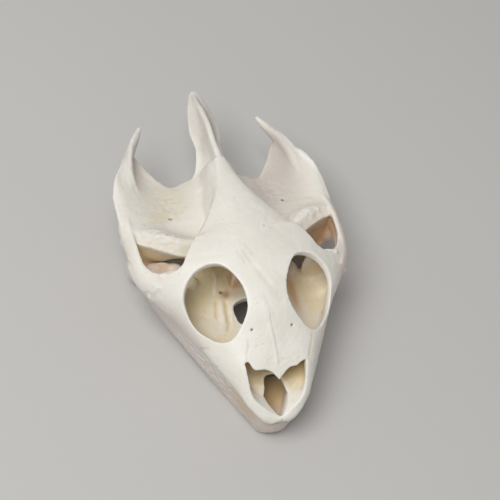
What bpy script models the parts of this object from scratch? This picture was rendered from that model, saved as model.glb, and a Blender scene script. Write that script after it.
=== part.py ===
"""Skull of a softshell turtle, with its lower jaw closed under it.

Each bone form is placed by points (x, s, z) in millimetres: x to the skull's left, s back from the
snout tip and z up from the surface that the lower jaw rests on. Paired forms are made on both sides.
"""
from collections import namedtuple

import bmesh
import bpy
import numpy as np
from mathutils import Matrix, Vector

MM = 0.001
SKULL_LENGTH = 75.0
WALL = 1.35
VOXEL = 0.34
FLOOR = 0.9
JOINT_GAP = 0.35
CRANIUM_FACES = 10800
JAW_FACES = 3400
RING_POINTS = 56
TUBE_POINTS = 24
FACE_STEPS = 4
STEPS = 6

BONE_COLOUR = (0.86, 0.83, 0.76)
JAW_COLOUR = (0.78, 0.71, 0.66)

Face = namedtuple("Face", "s roof shoulder cheek edge palate")
Ramus = namedtuple("Ramus", "s outer thick low top")

# Cross-sections of the snout and cheeks: heights on the midline, (x, z) pairs beside it
FACE = (
    Face(0.15, 8.4, (0.9, 8.3), (1.7, 7.7), (1.5, 6.7), 7.2),
    Face(1.0, 9.2, (2.1, 9.2), (3.6, 8.6), (3.1, 7.2), 8.0),
    Face(3.5, 11.7, (4.4, 11.5), (6.0, 10.0), (4.9, 8.2), 8.9),
    Face(6.0, 14.2, (5.4, 13.8), (7.3, 11.2), (5.9, 8.5), 9.3),
    Face(8.2, 15.8, (6.2, 15.4), (8.5, 11.6), (6.8, 8.6), 9.4),
    Face(11.4, 17.9, (7.3, 16.6), (10.2, 12.2), (8.2, 8.7), 9.5),
    Face(13.8, 19.4, (8.1, 17.4), (11.5, 12.8), (9.5, 8.7), 9.5),
    Face(17.3, 21.5, (7.8, 19.7), (13.1, 14.6), (11.8, 8.7), 9.5),
    Face(21.3, 22.9, (8.6, 21.0), (15.2, 15.3), (14.1, 8.9), 9.3),
    Face(24.7, 23.5, (9.6, 21.8), (17.6, 15.6), (16.3, 9.3), 9.2),
    Face(28.4, 23.8, (10.8, 21.8), (20.1, 15.5), (19.2, 10.5), 9.2),
    Face(31.6, 23.7, (11.6, 21.4), (21.3, 15.3), (20.9, 11.4), 9.2),
    Face(35.0, 23.3, (11.8, 21.0), (21.9, 15.0), (21.4, 11.9), 9.2),
)
FACE_CAVITY_START = 3.5
FACE_FLOOR_END = (26.0, 29.5)
CHEEK_FOOT = 2.0

ORBIT_RIM = (
    (4.3, 18.2, 21.6), (4.7, 22.6, 22.6), (7.4, 27.0, 22.2), (11.6, 27.2, 20.6),
    (14.4, 23.8, 17.6), (13.6, 18.8, 15.6), (10.6, 14.9, 15.8), (8.1, 13.6, 17.2), (6.0, 15.2, 19.6),
)
ORBIT_AXIS = Vector((0.46, -0.08, 0.88))
ORBIT_DEPTH = 4.5
ORBIT_REACH = 8.0

NARIS_NOTCH = Vector((0.0, 0.7, 8.6))
NARIS_TOP = Vector((0.0, 6.6, 14.7))
NARIS_OUTLINE = (
    (0.0, -0.1), (2.2, 1.3), (4.1, 2.9), (5.1, 5.2), (5.6, 8.2), (5.8, 10.4), (4.8, 10.1), (3.4, 9.5),
    (2.0, 9.2), (1.0, 8.4), (0.0, 7.7),
)
NARIS_DEPTH = 3.4
NARIS_LEAN = 0.24
NARIS_REACH = 6.0

# Openings cut straight up, in plan (x, s), and the heights that each cut spans
PALATE_FORAMEN = ((0.0, 1.0), (1.3, 2.6), (2.1, 4.6), (1.9, 6.8), (1.3, 8.8), (0.0, 9.3))
PALATE_SPAN = (5.0, 11.0)
CHOANA = ((0.0, 20.4), (2.4, 20.6), (3.4, 22.8), (3.0, 25.2), (0.0, 26.2))
CHOANA_SPAN = (6.0, 12.0)
TEMPORAL_OUTLINE = (
    (16.3, 29.0), (13.8, 29.5), (12.6, 31.4), (10.8, 34.0), (8.0, 37.6), (6.0, 40.2), (6.0, 45.0),
    (20.2, 45.0), (20.4, 38.0), (20.0, 34.0), (18.5, 30.9),
)
TEMPORAL_SPAN = (0.0, 30.0)

# Parietal plate: station, half width, height on the midline, height at the overhanging edge
PARIETAL = (
    (28.8, 10.8, 23.5, 21.4), (31.0, 12.3, 23.7, 20.9), (33.8, 10.9, 23.5, 20.9), (36.4, 8.8, 23.2, 21.1),
    (40.2, 6.1, 22.7, 21.3), (43.7, 4.0, 22.1, 21.2), (48.5, 2.4, 21.1, 20.4), (54.0, 1.5, 19.9, 19.2),
)

# Braincase: station, top height, half widths at the top, middle and foot, foot height
BRAINCASE = (
    (28.6, 22.4, 3.4, 3.0, 2.8, 9.4), (33.0, 22.4, 3.9, 3.2, 3.4, 8.4), (38.0, 22.0, 4.6, 4.6, 5.0, 7.8),
    (44.0, 21.2, 3.5, 5.6, 6.6, 7.6), (49.0, 20.2, 2.5, 4.8, 6.4, 7.7), (53.5, 18.8, 2.2, 3.8, 5.2, 8.0),
    (55.2, 17.4, 1.9, 3.2, 4.0, 8.6),
)
NECK_CONDYLE = (0.0, 56.4, 9.6)
NECK_CONDYLE_RADII = (1.9, 2.0, 1.5)
BRAIN_TUNNEL = (
    (0.0, 24.0, 18.6), (0.0, 32.0, 17.4), (0.0, 42.0, 15.0), (0.0, 50.0, 12.8), (0.0, 60.0, 12.2),
)
BRAIN_TUNNEL_RADII = ((2.2, 2.4), (2.4, 3.0), (2.5, 3.0), (2.3, 2.2), (2.3, 2.0))

# Ear wing from the braincase out to the squamosal: each row is one x station and nine (s, z) points,
# up the front, over the knob and the fossa floor to the rear rim, then back underneath
EAR_WING = (
    (3.0, ((36.5, 8.4), (35.6, 15.0), (37.4, 16.6), (40.6, 16.4), (47.0, 16.0),
           (54.6, 13.6), (53.8, 10.4), (47.0, 7.8), (41.0, 7.6))),
    (6.5, ((37.0, 8.4), (34.4, 15.4), (36.4, 17.0), (39.6, 15.6), (47.0, 14.4),
           (53.9, 12.5), (53.0, 10.2), (47.0, 7.6), (42.0, 7.4))),
    (9.5, ((37.8, 8.2), (34.3, 15.6), (36.8, 17.4), (40.2, 15.0), (47.5, 13.2),
           (53.6, 11.8), (52.8, 9.8), (47.0, 7.6), (42.5, 7.4))),
    (12.5, ((38.4, 8.0), (34.7, 16.0), (37.9, 17.7), (41.9, 14.6), (49.0, 12.5),
            (57.6, 11.3), (56.4, 9.7), (48.0, 8.0), (43.0, 7.4))),
    (15.3, ((37.6, 7.8), (36.2, 16.3), (39.6, 17.5), (43.4, 14.6), (50.0, 12.8),
            (62.0, 12.2), (60.6, 10.6), (50.0, 8.6), (43.0, 7.4))),
    (18.0, ((38.0, 8.8), (37.9, 16.0), (40.8, 16.6), (44.2, 14.7), (51.0, 13.8),
            (59.4, 14.2), (58.0, 11.8), (51.0, 9.6), (43.0, 8.4))),
    (20.4, ((39.5, 8.4), (39.3, 15.6), (41.8, 15.8), (45.0, 15.0), (51.0, 14.8),
            (56.2, 15.0), (54.8, 12.8), (50.0, 10.8), (43.4, 8.4))),
    (22.1, ((42.6, 10.8), (43.0, 14.3), (45.0, 14.6), (47.0, 14.6), (49.0, 14.6),
            (51.0, 14.4), (50.6, 13.6), (48.0, 13.0), (44.8, 11.2))),
)

HORN_PATH = (
    (19.6, 49.5, 12.2), (18.5, 54.6, 12.9), (17.2, 58.9, 13.2), (15.7, 62.8, 13.1), (14.2, 65.8, 13.1),
    (12.7, 68.3, 13.5),
)
HORN_RADII = ((1.6, 1.0), (2.1, 1.6), (1.6, 1.75), (1.15, 1.5), (0.9, 1.05), (0.45, 0.5))
EAR_CAPSULE = (17.2, 47.0, 10.2)
EAR_CAPSULE_RADII = (4.6, 6.4, 3.3)
EAR_OPENING = (23.6, 47.0, 10.9)
EAR_OPENING_RADII = (5.6, 4.4, 3.0)

# Cross-section of the cheek arch, as (x, z) from its middle
ARCH_SECTION = (
    (-1.1, 2.4), (-0.4, 2.7), (0.6, 1.6), (1.0, 0.2), (0.6, -1.7), (0.0, -2.3), (-0.7, -2.0), (-0.6, 0.2),
)
# Cheek arch: station, x and z of its middle, height factor
ARCH = (
    (27.0, 18.8, 14.0, 1.15), (31.0, 20.6, 14.0, 1.0), (35.0, 21.2, 14.1, 0.95), (39.0, 21.3, 14.0, 0.95),
    (43.0, 21.3, 13.3, 0.9), (46.5, 20.9, 13.0, 0.6), (50.0, 20.0, 12.9, 0.25),
)

# Supraoccipital crest: station, half width and height of the side flange, height of the ridge
CREST = (
    (50.0, 5.2, 14.6, 20.6), (54.0, 4.9, 13.2, 19.8), (56.0, 3.9, 13.3, 19.5), (58.5, 3.1, 13.9, 19.2),
    (61.0, 2.8, 14.5, 19.2), (64.0, 3.3, 15.2, 19.1), (67.5, 2.9, 15.6, 18.2), (71.0, 2.1, 15.9, 17.2),
    (73.6, 1.3, 15.7, 16.4), (74.7, 0.7, 15.6, 16.0),
)
RIDGE_HALF = 0.55
CREST_TIP = (0.0, SKULL_LENGTH - 0.8, 15.75)
CREST_TIP_RADII = (0.8, 0.8, 0.6)

# Pterygoid and palatine plate: station, half width, height, half thickness
PTERYGOID = (
    (22.0, 10.0, 9.6, 0.7), (27.0, 12.4, 9.7, 0.75), (30.4, 12.2, 9.6, 0.8), (33.2, 9.4, 9.3, 0.9),
    (36.0, 8.0, 8.9, 1.0), (40.0, 7.4, 8.4, 1.0), (44.0, 8.8, 8.1, 1.0), (49.0, 7.4, 8.2, 1.0),
    (53.0, 4.6, 8.6, 1.0),
)
# Outer floor of the eye socket: x station, front and rear edge, height; then half its thickness
SOCKET_FLOOR = (
    (8.5, 23.0, 31.4, 9.7), (12.4, 23.0, 31.6, 9.9), (15.4, 24.0, 31.5, 10.9), (18.0, 25.5, 31.9, 12.6),
    (20.2, 27.0, 33.0, 14.2),
)
SOCKET_FLOOR_HALF = 0.55
FLANGE = (10.4, 31.2, 10.5)
FLANGE_RADII = (1.5, 1.9, 1.3)

# Wall between nose and eye socket: upright path and its (sideways, lengthwise) radii
NOSE_WALL = ((5.6, 12.7, 9.0), (5.6, 12.6, 13.0), (5.4, 12.6, 17.0))
NOSE_WALL_RADII = ((2.8, 0.8), (2.7, 0.6), (2.4, 0.7))
# Outer part of the wall behind the eye socket, in the same way
SOCKET_WALL = ((15.7, 29.6, 10.6), (15.3, 29.5, 14.0), (14.9, 29.2, 18.3))
SOCKET_WALL_RADII = ((4.2, 0.8), (3.9, 0.7), (3.2, 0.8))

CONDYLE = Vector((18.0, 41.2, 6.9))
CONDYLE_RADII = Vector((2.5, 2.0, 1.8))
QUADRATE = ((17.6, 46.0, 11.0), (18.0, 43.4, 9.0), tuple(CONDYLE))
QUADRATE_RADII = ((2.6, 2.6), (2.5, 2.2), (2.3, 1.7))

RAMUS = (
    Ramus(0.6, 1.2, 1.8, 2.2, 5.2), Ramus(1.5, 2.8, 2.7, 0.9, 6.2), Ramus(2.8, 4.0, 3.0, 0.2, 6.9),
    Ramus(6.4, 5.9, 3.2, -0.4, 8.0), Ramus(10.8, 8.1, 3.2, -0.1, 8.6), Ramus(16.6, 11.1, 3.1, 0.6, 8.6),
    Ramus(22.6, 13.9, 3.0, 0.9, 8.5), Ramus(28.0, 16.3, 3.0, 0.7, 8.5), Ramus(33.0, 17.9, 3.0, 0.1, 8.6),
    Ramus(37.0, 18.9, 3.6, -0.4, 6.9), Ramus(41.0, 19.5, 4.4, -0.4, 5.2), Ramus(44.4, 19.2, 2.8, 1.0, 4.2),
)
# Chin plate: station, half width, foot, top
SYMPHYSIS = (
    (0.8, 1.2, 2.4, 4.8), (1.6, 2.4, 1.1, 5.2), (3.0, 3.2, 0.1, 5.3), (6.4, 4.2, -0.4, 5.2),
    (8.6, 5.4, 0.4, 5.2), (10.6, 6.4, 1.6, 5.0), (11.6, 6.8, 2.4, 4.4),
)
CORONOID = ((16.3, 33.4, 6.4), (16.1, 34.0, 9.2), (15.5, 34.4, 12.0))
CORONOID_RADII = ((1.4, 3.6), (1.8, 2.7), (2.2, 1.5))
ARTICULAR = (17.9, 40.6, 3.4)
ARTICULAR_RADII = (2.6, 3.4, 3.2)
JAW_HEEL = (17.8, 44.4, 2.9)
JAW_HEEL_RADII = (1.7, 2.4, 1.6)


def clear_scene():
    """Remove every object of the open file."""
    for obj in list(bpy.data.objects):
        bpy.data.objects.remove(obj, do_unlink=True)


def new_collection(name):
    """A collection linked to the scene."""
    collection = bpy.data.collections.new(name)
    bpy.context.scene.collection.children.link(collection)
    return collection


def bone_material(name, colour):
    """A plain Principled bone material."""
    material = bpy.data.materials.new(name)
    material.use_nodes = True
    shader = material.node_tree.nodes["Principled BSDF"]
    shader.inputs["Base Color"].default_value = (*colour, 1.0)
    shader.inputs["Roughness"].default_value = 0.5
    shader.inputs["Metallic"].default_value = 0.0
    return material


def smooth_through(points, closed, steps):
    """Points of a Catmull-Rom curve through the given rows."""
    points = np.asarray(points, float)
    count = len(points)
    if closed:
        padded = np.concatenate([points[-1:], points, points[:2]])
        spans = count
    else:
        padded = np.concatenate([2 * points[:1] - points[1:2], points, 2 * points[-1:] - points[-2:-1]])
        spans = count - 1
    t = np.linspace(0.0, 1.0, steps, endpoint=False)[:, None]
    curve = []
    for i in range(spans):
        a, b, c, d = padded[i:i + 4]
        curve.append(0.5 * (2 * b + (c - a) * t + (2 * a - 5 * b + 4 * c - d) * t ** 2
                            + (3 * b - a - 3 * c + d) * t ** 3))
    if not closed:
        curve.append(points[-1:])
    return np.concatenate(curve)


def even_ring(points, count=RING_POINTS):
    """A closed smooth ring through the points, resampled to evenly spaced points."""
    dense = smooth_through(points, True, 12)
    dense = np.concatenate([dense, dense[:1]])
    length = np.concatenate([[0.0], np.cumsum(np.linalg.norm(np.diff(dense, axis=0), axis=1))])
    at = np.linspace(0.0, length[-1], count, endpoint=False)
    return np.stack([np.interp(at, length, dense[:, k]) for k in range(dense.shape[1])], axis=-1)


def place(points):
    """World positions, in metres, of rows (x, s, z) in millimetres."""
    points = np.asarray(points, float)
    return np.stack([points[:, 0], points[:, 1] - SKULL_LENGTH / 2, points[:, 2]], axis=-1) * MM


def mesh_object(name, mesh, collection):
    """A new object of the mesh, linked to the collection."""
    obj = bpy.data.objects.new(name, mesh)
    collection.objects.link(obj)
    return obj


def loft(name, rings, collection):
    """A closed solid through rings of equal point count, given in millimetres."""
    bm = bmesh.new()
    rows = [[bm.verts.new(p) for p in place(ring)] for ring in rings]
    count = len(rows[0])
    for lower, upper in zip(rows, rows[1:]):
        for i in range(count):
            j = (i + 1) % count
            bm.faces.new((lower[i], lower[j], upper[j], upper[i]))
    bm.faces.new(reversed(rows[0]))
    bm.faces.new(rows[-1])
    bmesh.ops.triangulate(bm, faces=[f for f in bm.faces if len(f.verts) > 4])
    if bm.calc_volume(signed=True) < 0:
        bmesh.ops.reverse_faces(bm, faces=bm.faces)
    mesh = bpy.data.meshes.new(name)
    bm.to_mesh(mesh)
    bm.free()
    return mesh_object(name, mesh, collection)


def mirrored(rings):
    """The same rings on the skull's other side."""
    return [np.asarray(ring) * (-1.0, 1.0, 1.0) for ring in rings]


def paired_loft(name, rings, collection):
    """A loft on the left side and its mirror image on the right."""
    rings = [np.asarray(ring, float) for ring in rings]
    return [loft(name + "_left", rings, collection), loft(name + "_right", mirrored(rings), collection)]


def lump(name, centre, radii, collection):
    """An ellipsoid."""
    bm = bmesh.new()
    bmesh.ops.create_uvsphere(bm, u_segments=28, v_segments=18, radius=1.0)
    mesh = bpy.data.meshes.new(name)
    bm.to_mesh(mesh)
    bm.free()
    scale = Matrix.Diagonal((*(Vector(radii) * MM), 1.0))
    mesh.transform(Matrix.Translation(place([centre])[0]) @ scale)
    return mesh_object(name, mesh, collection)


def paired_lump(name, centre, radii, collection):
    """Ellipsoids on both sides."""
    x, s, z = centre
    return [lump(name + "_left", (x, s, z), radii, collection),
            lump(name + "_right", (-x, s, z), radii, collection)]


def tube_rings(path, radii):
    """Elliptical rings along a path, with (sideways, upright) radii at each path point."""
    path = smooth_through(path, False, STEPS)
    radii = smooth_through(radii, False, STEPS)
    along = np.gradient(path, axis=0)
    along /= np.linalg.norm(along, axis=1)[:, None]
    angles = np.linspace(0.0, 2 * np.pi, TUBE_POINTS, endpoint=False)
    rings = []
    for centre, direction, (wide, high) in zip(path, along, radii):
        side = np.cross(direction, (0.0, 0.0, 1.0))
        side /= np.linalg.norm(side)
        up = np.cross(side, direction)
        rings.append(centre + wide * np.cos(angles)[:, None] * side + high * np.sin(angles)[:, None] * up)
    return rings


def upright_rings(path, radii):
    """Level elliptical rings up a path, with (sideways, lengthwise) radii at each path point."""
    angles = np.linspace(0.0, 2 * np.pi, TUBE_POINTS, endpoint=False)
    path = smooth_through(path, False, STEPS)
    radii = smooth_through(radii, False, STEPS)
    return [np.column_stack([x + wide * np.cos(angles), s + deep * np.sin(angles), np.full(len(angles), z)])
            for (x, s, z), (wide, deep) in zip(path, radii)]


def prism_rings(outline, span):
    """Two level rings, at both heights of the span, of a closed plan outline of (x, s) points."""
    ring = even_ring(outline)
    return [np.column_stack([ring, np.full(len(ring), z)]) for z in span]


def both_halves(half):
    """A closed outline from its left half, which starts and ends on the midline."""
    return list(half) + [(-x, *rest) for x, *rest in reversed(half[1:-1])]


def face_ring(f):
    """The outer ring of one face section."""
    lip = min(1.5, 0.4 * f.edge[0])
    inset = (f.edge[0] - lip, max(f.palate - 0.1, f.edge[1] - 0.6))
    half = [(0.0, f.roof), f.shoulder, f.cheek, f.edge, inset, (0.0, f.palate)]
    ring = even_ring(both_halves(half))
    return np.column_stack([ring[:, 0], np.full(len(ring), f.s), ring[:, 1]])


def cavity_ring(f):
    """The ring inside one face section, a wall's thickness in."""
    floor = np.interp(f.s, FACE_FLOOR_END, (f.palate + FLOOR, CHEEK_FOOT))
    shoulder = (f.shoulder[0] - 0.6 * WALL, f.shoulder[1] - WALL)
    cheek = (f.cheek[0] - 1.05 * WALL, f.cheek[1])
    foot = (f.edge[0] - WALL, floor + 0.6)
    half = [(0.0, f.roof - WALL), shoulder, cheek, foot, (0.0, floor)]
    ring = even_ring(both_halves(half))
    return np.column_stack([ring[:, 0], np.full(len(ring), f.s), ring[:, 1]])


def face_stations(first):
    """Face sections interpolated between the named ones."""
    table = np.array([(f.s, f.roof, *f.shoulder, *f.cheek, *f.edge, f.palate) for f in FACE if f.s >= first])
    rows = smooth_through(table, False, FACE_STEPS)
    return [Face(r[0], r[1], (r[2], r[3]), (r[4], r[5]), (r[6], r[7]), r[8]) for r in rows]


def naris_rings():
    """Rings of the nose opening, square to its sloping plane outside and level inside."""
    up = (NARIS_TOP - NARIS_NOTCH).normalized()
    out = Vector((0.0, -up.z, up.y))
    ring = even_ring(both_halves(NARIS_OUTLINE))
    base = np.array([NARIS_NOTCH + Vector((x, 0.0, 0.0)) + up * t for x, t in ring])
    inner = base + [(0.0, NARIS_DEPTH, -NARIS_LEAN * t) for x, t in ring]
    return [inner, base, base + np.array(out) * NARIS_REACH]


def orbit_rings():
    """Rings of the left eye opening along its axis."""
    ring = even_ring(ORBIT_RIM)
    axis = np.array(ORBIT_AXIS.normalized())
    return [ring - axis * ORBIT_DEPTH, ring + axis * ORBIT_REACH]


def make_cutter(objects, collection):
    """Mark objects as cutters that stay out of the model."""
    for obj in objects:
        for owner in list(obj.users_collection):
            owner.objects.unlink(obj)
        collection.objects.link(obj)
        obj.hide_render = True
        obj.display_type = "WIRE"


def apply_modifiers(obj):
    """Replace the object's mesh by its evaluated one."""
    depsgraph = bpy.context.evaluated_depsgraph_get()
    mesh = bpy.data.meshes.new_from_object(obj.evaluated_get(depsgraph))
    obj.modifiers.clear()
    obj.data = mesh


def cut(obj, cutters, solver="EXACT"):
    """Subtract each cutter from the object."""
    for cutter in cutters:
        boolean = obj.modifiers.new("Cut " + cutter.name, "BOOLEAN")
        boolean.operation = "DIFFERENCE"
        boolean.solver = solver
        boolean.object = cutter
    apply_modifiers(obj)


def join(name, objects, collection):
    """One object of all the meshes, which may still overlap."""
    bm = bmesh.new()
    for obj in objects:
        bm.from_mesh(obj.data)
        bpy.data.objects.remove(obj)
    mesh = bpy.data.meshes.new(name)
    bm.to_mesh(mesh)
    bm.free()
    return mesh_object(name, mesh, collection)


def fuse(obj, voxel, smoothing):
    """Fuse overlapping forms into one skin and soften it."""
    remesh = obj.modifiers.new("Fuse", "REMESH")
    remesh.mode = "VOXEL"
    remesh.voxel_size = voxel * MM
    smooth = obj.modifiers.new("Soften", "SMOOTH")
    smooth.factor = 0.5
    smooth.iterations = smoothing
    apply_modifiers(obj)


def keep_largest(obj):
    """Keep the mesh's largest closed surface."""
    bm = bmesh.new()
    bm.from_mesh(obj.data)
    left = set(bm.verts)
    islands = []
    while left:
        seed = left.pop()
        island = {seed}
        stack = [seed]
        while stack:
            for edge in stack.pop().link_edges:
                for vert in edge.verts:
                    if vert in left:
                        left.remove(vert)
                        island.add(vert)
                        stack.append(vert)
        islands.append(island)
    islands.sort(key=len)
    scraps = [vert for island in islands[:-1] for vert in island]
    bmesh.ops.delete(bm, geom=scraps, context="VERTS")
    bm.to_mesh(obj.data)
    bm.free()


def thin_out(obj, faces):
    """Reduce the mesh to about the given number of triangles."""
    obj.data.calc_loop_triangles()
    decimate = obj.modifiers.new("Thin out", "DECIMATE")
    decimate.ratio = min(1.0, faces / len(obj.data.loop_triangles))
    apply_modifiers(obj)


def rest_flats(obj):
    """Cut the mesh off level at z = 0."""
    bm = bmesh.new()
    bm.from_mesh(obj.data)
    geometry = bm.verts[:] + bm.edges[:] + bm.faces[:]
    bmesh.ops.bisect_plane(bm, geom=geometry, dist=1e-6, plane_co=(0, 0, 0), plane_no=(0, 0, -1),
                           clear_outer=True)
    rim = [edge for edge in bm.edges if edge.is_boundary]
    bmesh.ops.contextual_create(bm, geom=rim)
    bmesh.ops.triangulate(bm, faces=bm.faces)
    bmesh.ops.recalc_face_normals(bm, faces=bm.faces)
    bm.to_mesh(obj.data)
    bm.free()


def make_face(parts, cutters):
    """Hollow snout, eye sockets and cheeks."""
    face = loft("face", [face_ring(f) for f in face_stations(0.0)], parts)
    inside = [cavity_ring(f) for f in face_stations(FACE_CAVITY_START)]
    behind = inside[-1] + (0.0, 2.0, 0.0)
    hollow = loft("face_hollow", inside + [behind], cutters)
    openings = [hollow, loft("naris", naris_rings(), cutters)]
    openings += paired_loft("orbit", orbit_rings(), cutters)
    openings += paired_loft("temporal", prism_rings(TEMPORAL_OUTLINE, TEMPORAL_SPAN), cutters)
    foramen = prism_rings(both_halves(PALATE_FORAMEN), PALATE_SPAN)
    openings.append(loft("palate_foramen", foramen, cutters))
    make_cutter(openings, cutters)
    # The exact solver loses the whole shell at the hollow, so these cuts use the other one
    cut(face, openings, "MANIFOLD")
    return face


def make_parietal(parts):
    """The bell-shaped roof plate between the temporal fossae."""
    rings = []
    for s, half, mid, edge in smooth_through(PARIETAL, False, STEPS):
        lower = mid - WALL - 0.2
        outline = [(0.0, mid), (0.55 * half, mid - 0.28 * (mid - edge)), (half - 0.3, edge),
                   (half - 0.1, edge - 0.7), (0.55 * half, edge - 1.0), (0.0, min(lower, edge - 1.0))]
        ring = even_ring(both_halves(outline))
        rings.append(np.column_stack([ring[:, 0], np.full(len(ring), s), ring[:, 1]]))
    return [loft("parietal", rings, parts)]


def make_braincase(parts):
    """The closed box under the roof plate."""
    rings = []
    for s, top, wide, middle, foot, low in smooth_through(BRAINCASE, False, STEPS):
        outline = [(0.0, top), (wide, top - 0.6), (middle, 0.45 * top + 0.55 * low), (foot, low + 1.8),
                   (foot - 1.2, low), (0.0, low)]
        ring = even_ring(both_halves(outline))
        rings.append(np.column_stack([ring[:, 0], np.full(len(ring), s), ring[:, 1]]))
    case = loft("braincase", rings, parts)
    condyle = lump("neck_condyle", NECK_CONDYLE, NECK_CONDYLE_RADII, parts)
    return [case, condyle]


def crisp(points, corner):
    """The points with two more close to one corner, so that it stays crisp when smoothed."""
    points = np.asarray(points, float)
    before, at, after = points[corner - 1:corner + 2]
    extra = [at + 0.12 * (before - at), at, at + 0.25 * (after - at)]
    return np.concatenate([points[:corner], extra, points[corner + 1:]])


def make_ear_wings(parts):
    """Ear region and squamosal wing of each side, with the horn behind it."""
    stations = [np.array([(x, s, z) for s, z in crisp(section, 1)]) for x, section in EAR_WING]
    between = smooth_through(np.array(stations).reshape(len(stations), -1), False, STEPS)
    rings = [even_ring(row.reshape(-1, 3)) for row in between]
    wings = paired_loft("ear_wing", rings, parts)
    horns = paired_loft("horn", tube_rings(HORN_PATH, HORN_RADII), parts)
    ears = paired_lump("ear_capsule", EAR_CAPSULE, EAR_CAPSULE_RADII, parts)
    return wings + horns + ears


def make_quadrates(parts):
    """Pillar and jaw joint of each side."""
    pillar = tube_rings(QUADRATE, QUADRATE_RADII)
    return paired_loft("quadrate", pillar, parts) + paired_lump("condyle", CONDYLE, CONDYLE_RADII, parts)


def make_arches(parts):
    """Cheek arch of each side."""
    rings = []
    for s, x, z, height in smooth_through(ARCH, False, STEPS):
        ring = even_ring([(x + dx, s, z + dz * height) for dx, dz in ARCH_SECTION])
        rings.append(ring)
    return paired_loft("arch", rings, parts)


def make_crest(parts):
    """Supraoccipital crest: a ridge standing on two side flanges."""
    rings = []
    for s, half, flange, ridge in smooth_through(CREST, False, STEPS):
        thin = min(RIDGE_HALF, 0.5 * half)
        outline = [(0.0, ridge), (thin, ridge - 0.3), (thin + 0.35, 0.5 * (ridge + flange)),
                   (0.6 * half, flange + 0.75), (half, flange + 0.1), (0.7 * half, flange - 0.6),
                   (0.0, flange - 0.9)]
        ring = even_ring(both_halves(outline))
        rings.append(np.column_stack([ring[:, 0], np.full(len(ring), s), ring[:, 1]]))
    tip = lump("crest_tip", CREST_TIP, CREST_TIP_RADII, parts)
    return [loft("crest", rings, parts), tip]


def make_palate(parts):
    """Palatine and pterygoid plate, the floor of each eye socket and the walls before and behind it."""
    angles = np.linspace(0.0, 2 * np.pi, RING_POINTS, endpoint=False)
    wave = np.sign(np.cos(angles)) * np.abs(np.cos(angles)) ** 0.6
    swell = np.sign(np.sin(angles)) * np.abs(np.sin(angles)) ** 0.8
    rings = []
    for s, half, height, thick in smooth_through(PTERYGOID, False, STEPS):
        rings.append(np.column_stack([half * wave, np.full(len(angles), s), height + thick * swell]))
    pieces = [loft("pterygoid", rings, parts)]
    rings = []
    for x, front, rear, height in smooth_through(SOCKET_FLOOR, False, STEPS):
        s = 0.5 * (front + rear) + 0.5 * (rear - front) * wave
        rings.append(np.column_stack([np.full(len(angles), x), s, height + SOCKET_FLOOR_HALF * swell]))
    pieces += paired_loft("socket_floor", rings, parts)
    pieces += paired_lump("flange", FLANGE, FLANGE_RADII, parts)
    pieces += paired_loft("socket_wall", upright_rings(SOCKET_WALL, SOCKET_WALL_RADII), parts)
    return pieces + paired_loft("nose_wall", upright_rings(NOSE_WALL, NOSE_WALL_RADII), parts)


def make_cranium(parts, cutters):
    """All bones of the cranium fused into one."""
    pieces = [make_face(parts, cutters)]
    for maker in (make_parietal, make_braincase, make_ear_wings, make_quadrates, make_arches, make_crest,
                  make_palate):
        pieces += maker(parts)
    cranium = join("cranium", pieces, parts)
    fuse(cranium, VOXEL, 2)
    holes = [loft("brain_tunnel", tube_rings(BRAIN_TUNNEL, BRAIN_TUNNEL_RADII), cutters)]
    holes.append(loft("choana", prism_rings(both_halves(CHOANA), CHOANA_SPAN), cutters))
    holes += paired_lump("ear_opening", EAR_OPENING, EAR_OPENING_RADII, cutters)
    make_cutter(holes, cutters)
    cut(cranium, holes)
    fuse(cranium, VOXEL, 3)
    keep_largest(cranium)
    thin_out(cranium, CRANIUM_FACES)
    return cranium


def ramus_ring(r):
    """The ring of one section of the left jaw ramus."""
    inner = r.outer - r.thick
    middle = 0.5 * (r.low + r.top)
    outline = [(r.outer - 1.6, r.low), (r.outer - 0.8, r.low + 1.2), (r.outer - 0.15, middle),
               (r.outer - 0.3, r.top - 1.0), (r.outer - 1.3, r.top), (inner + 0.3, r.top - 0.5),
               (inner, middle), (inner + 0.6, r.low + 0.2)]
    ring = even_ring(outline)
    return np.column_stack([ring[:, 0], np.full(len(ring), r.s), ring[:, 1]])


def make_lower_jaw(parts, cutters):
    """Both jaw rami, joined at the chin."""
    stations = [Ramus(*row) for row in smooth_through([tuple(r) for r in RAMUS], False, STEPS)]
    pieces = paired_loft("ramus", [ramus_ring(r) for r in stations], parts)
    rings = []
    for s, half, low, top in smooth_through(SYMPHYSIS, False, STEPS):
        outline = [(0.0, top), (half, top), (half, low), (0.0, low)]
        ring = even_ring(both_halves(outline))
        rings.append(np.column_stack([ring[:, 0], np.full(len(ring), s), ring[:, 1]]))
    pieces.append(loft("symphysis", rings, parts))
    pieces += paired_loft("coronoid", upright_rings(CORONOID, CORONOID_RADII), parts)
    pieces += paired_lump("articular", ARTICULAR, ARTICULAR_RADII, parts)
    pieces += paired_lump("jaw_heel", JAW_HEEL, JAW_HEEL_RADII, parts)
    jaw = join("lower_jaw", pieces, parts)
    fuse(jaw, VOXEL, 2)
    gap = Vector((JOINT_GAP, JOINT_GAP, JOINT_GAP))
    sockets = paired_lump("joint_socket", CONDYLE, CONDYLE_RADII + gap, cutters)
    make_cutter(sockets, cutters)
    cut(jaw, sockets)
    fuse(jaw, VOXEL, 2)
    keep_largest(jaw)
    thin_out(jaw, JAW_FACES)
    rest_flats(jaw)
    return jaw


def finish_node(obj, material):
    """Give the node its material and round shading."""
    obj.data.materials.clear()
    obj.data.materials.append(material)
    obj.data.shade_smooth()


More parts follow.
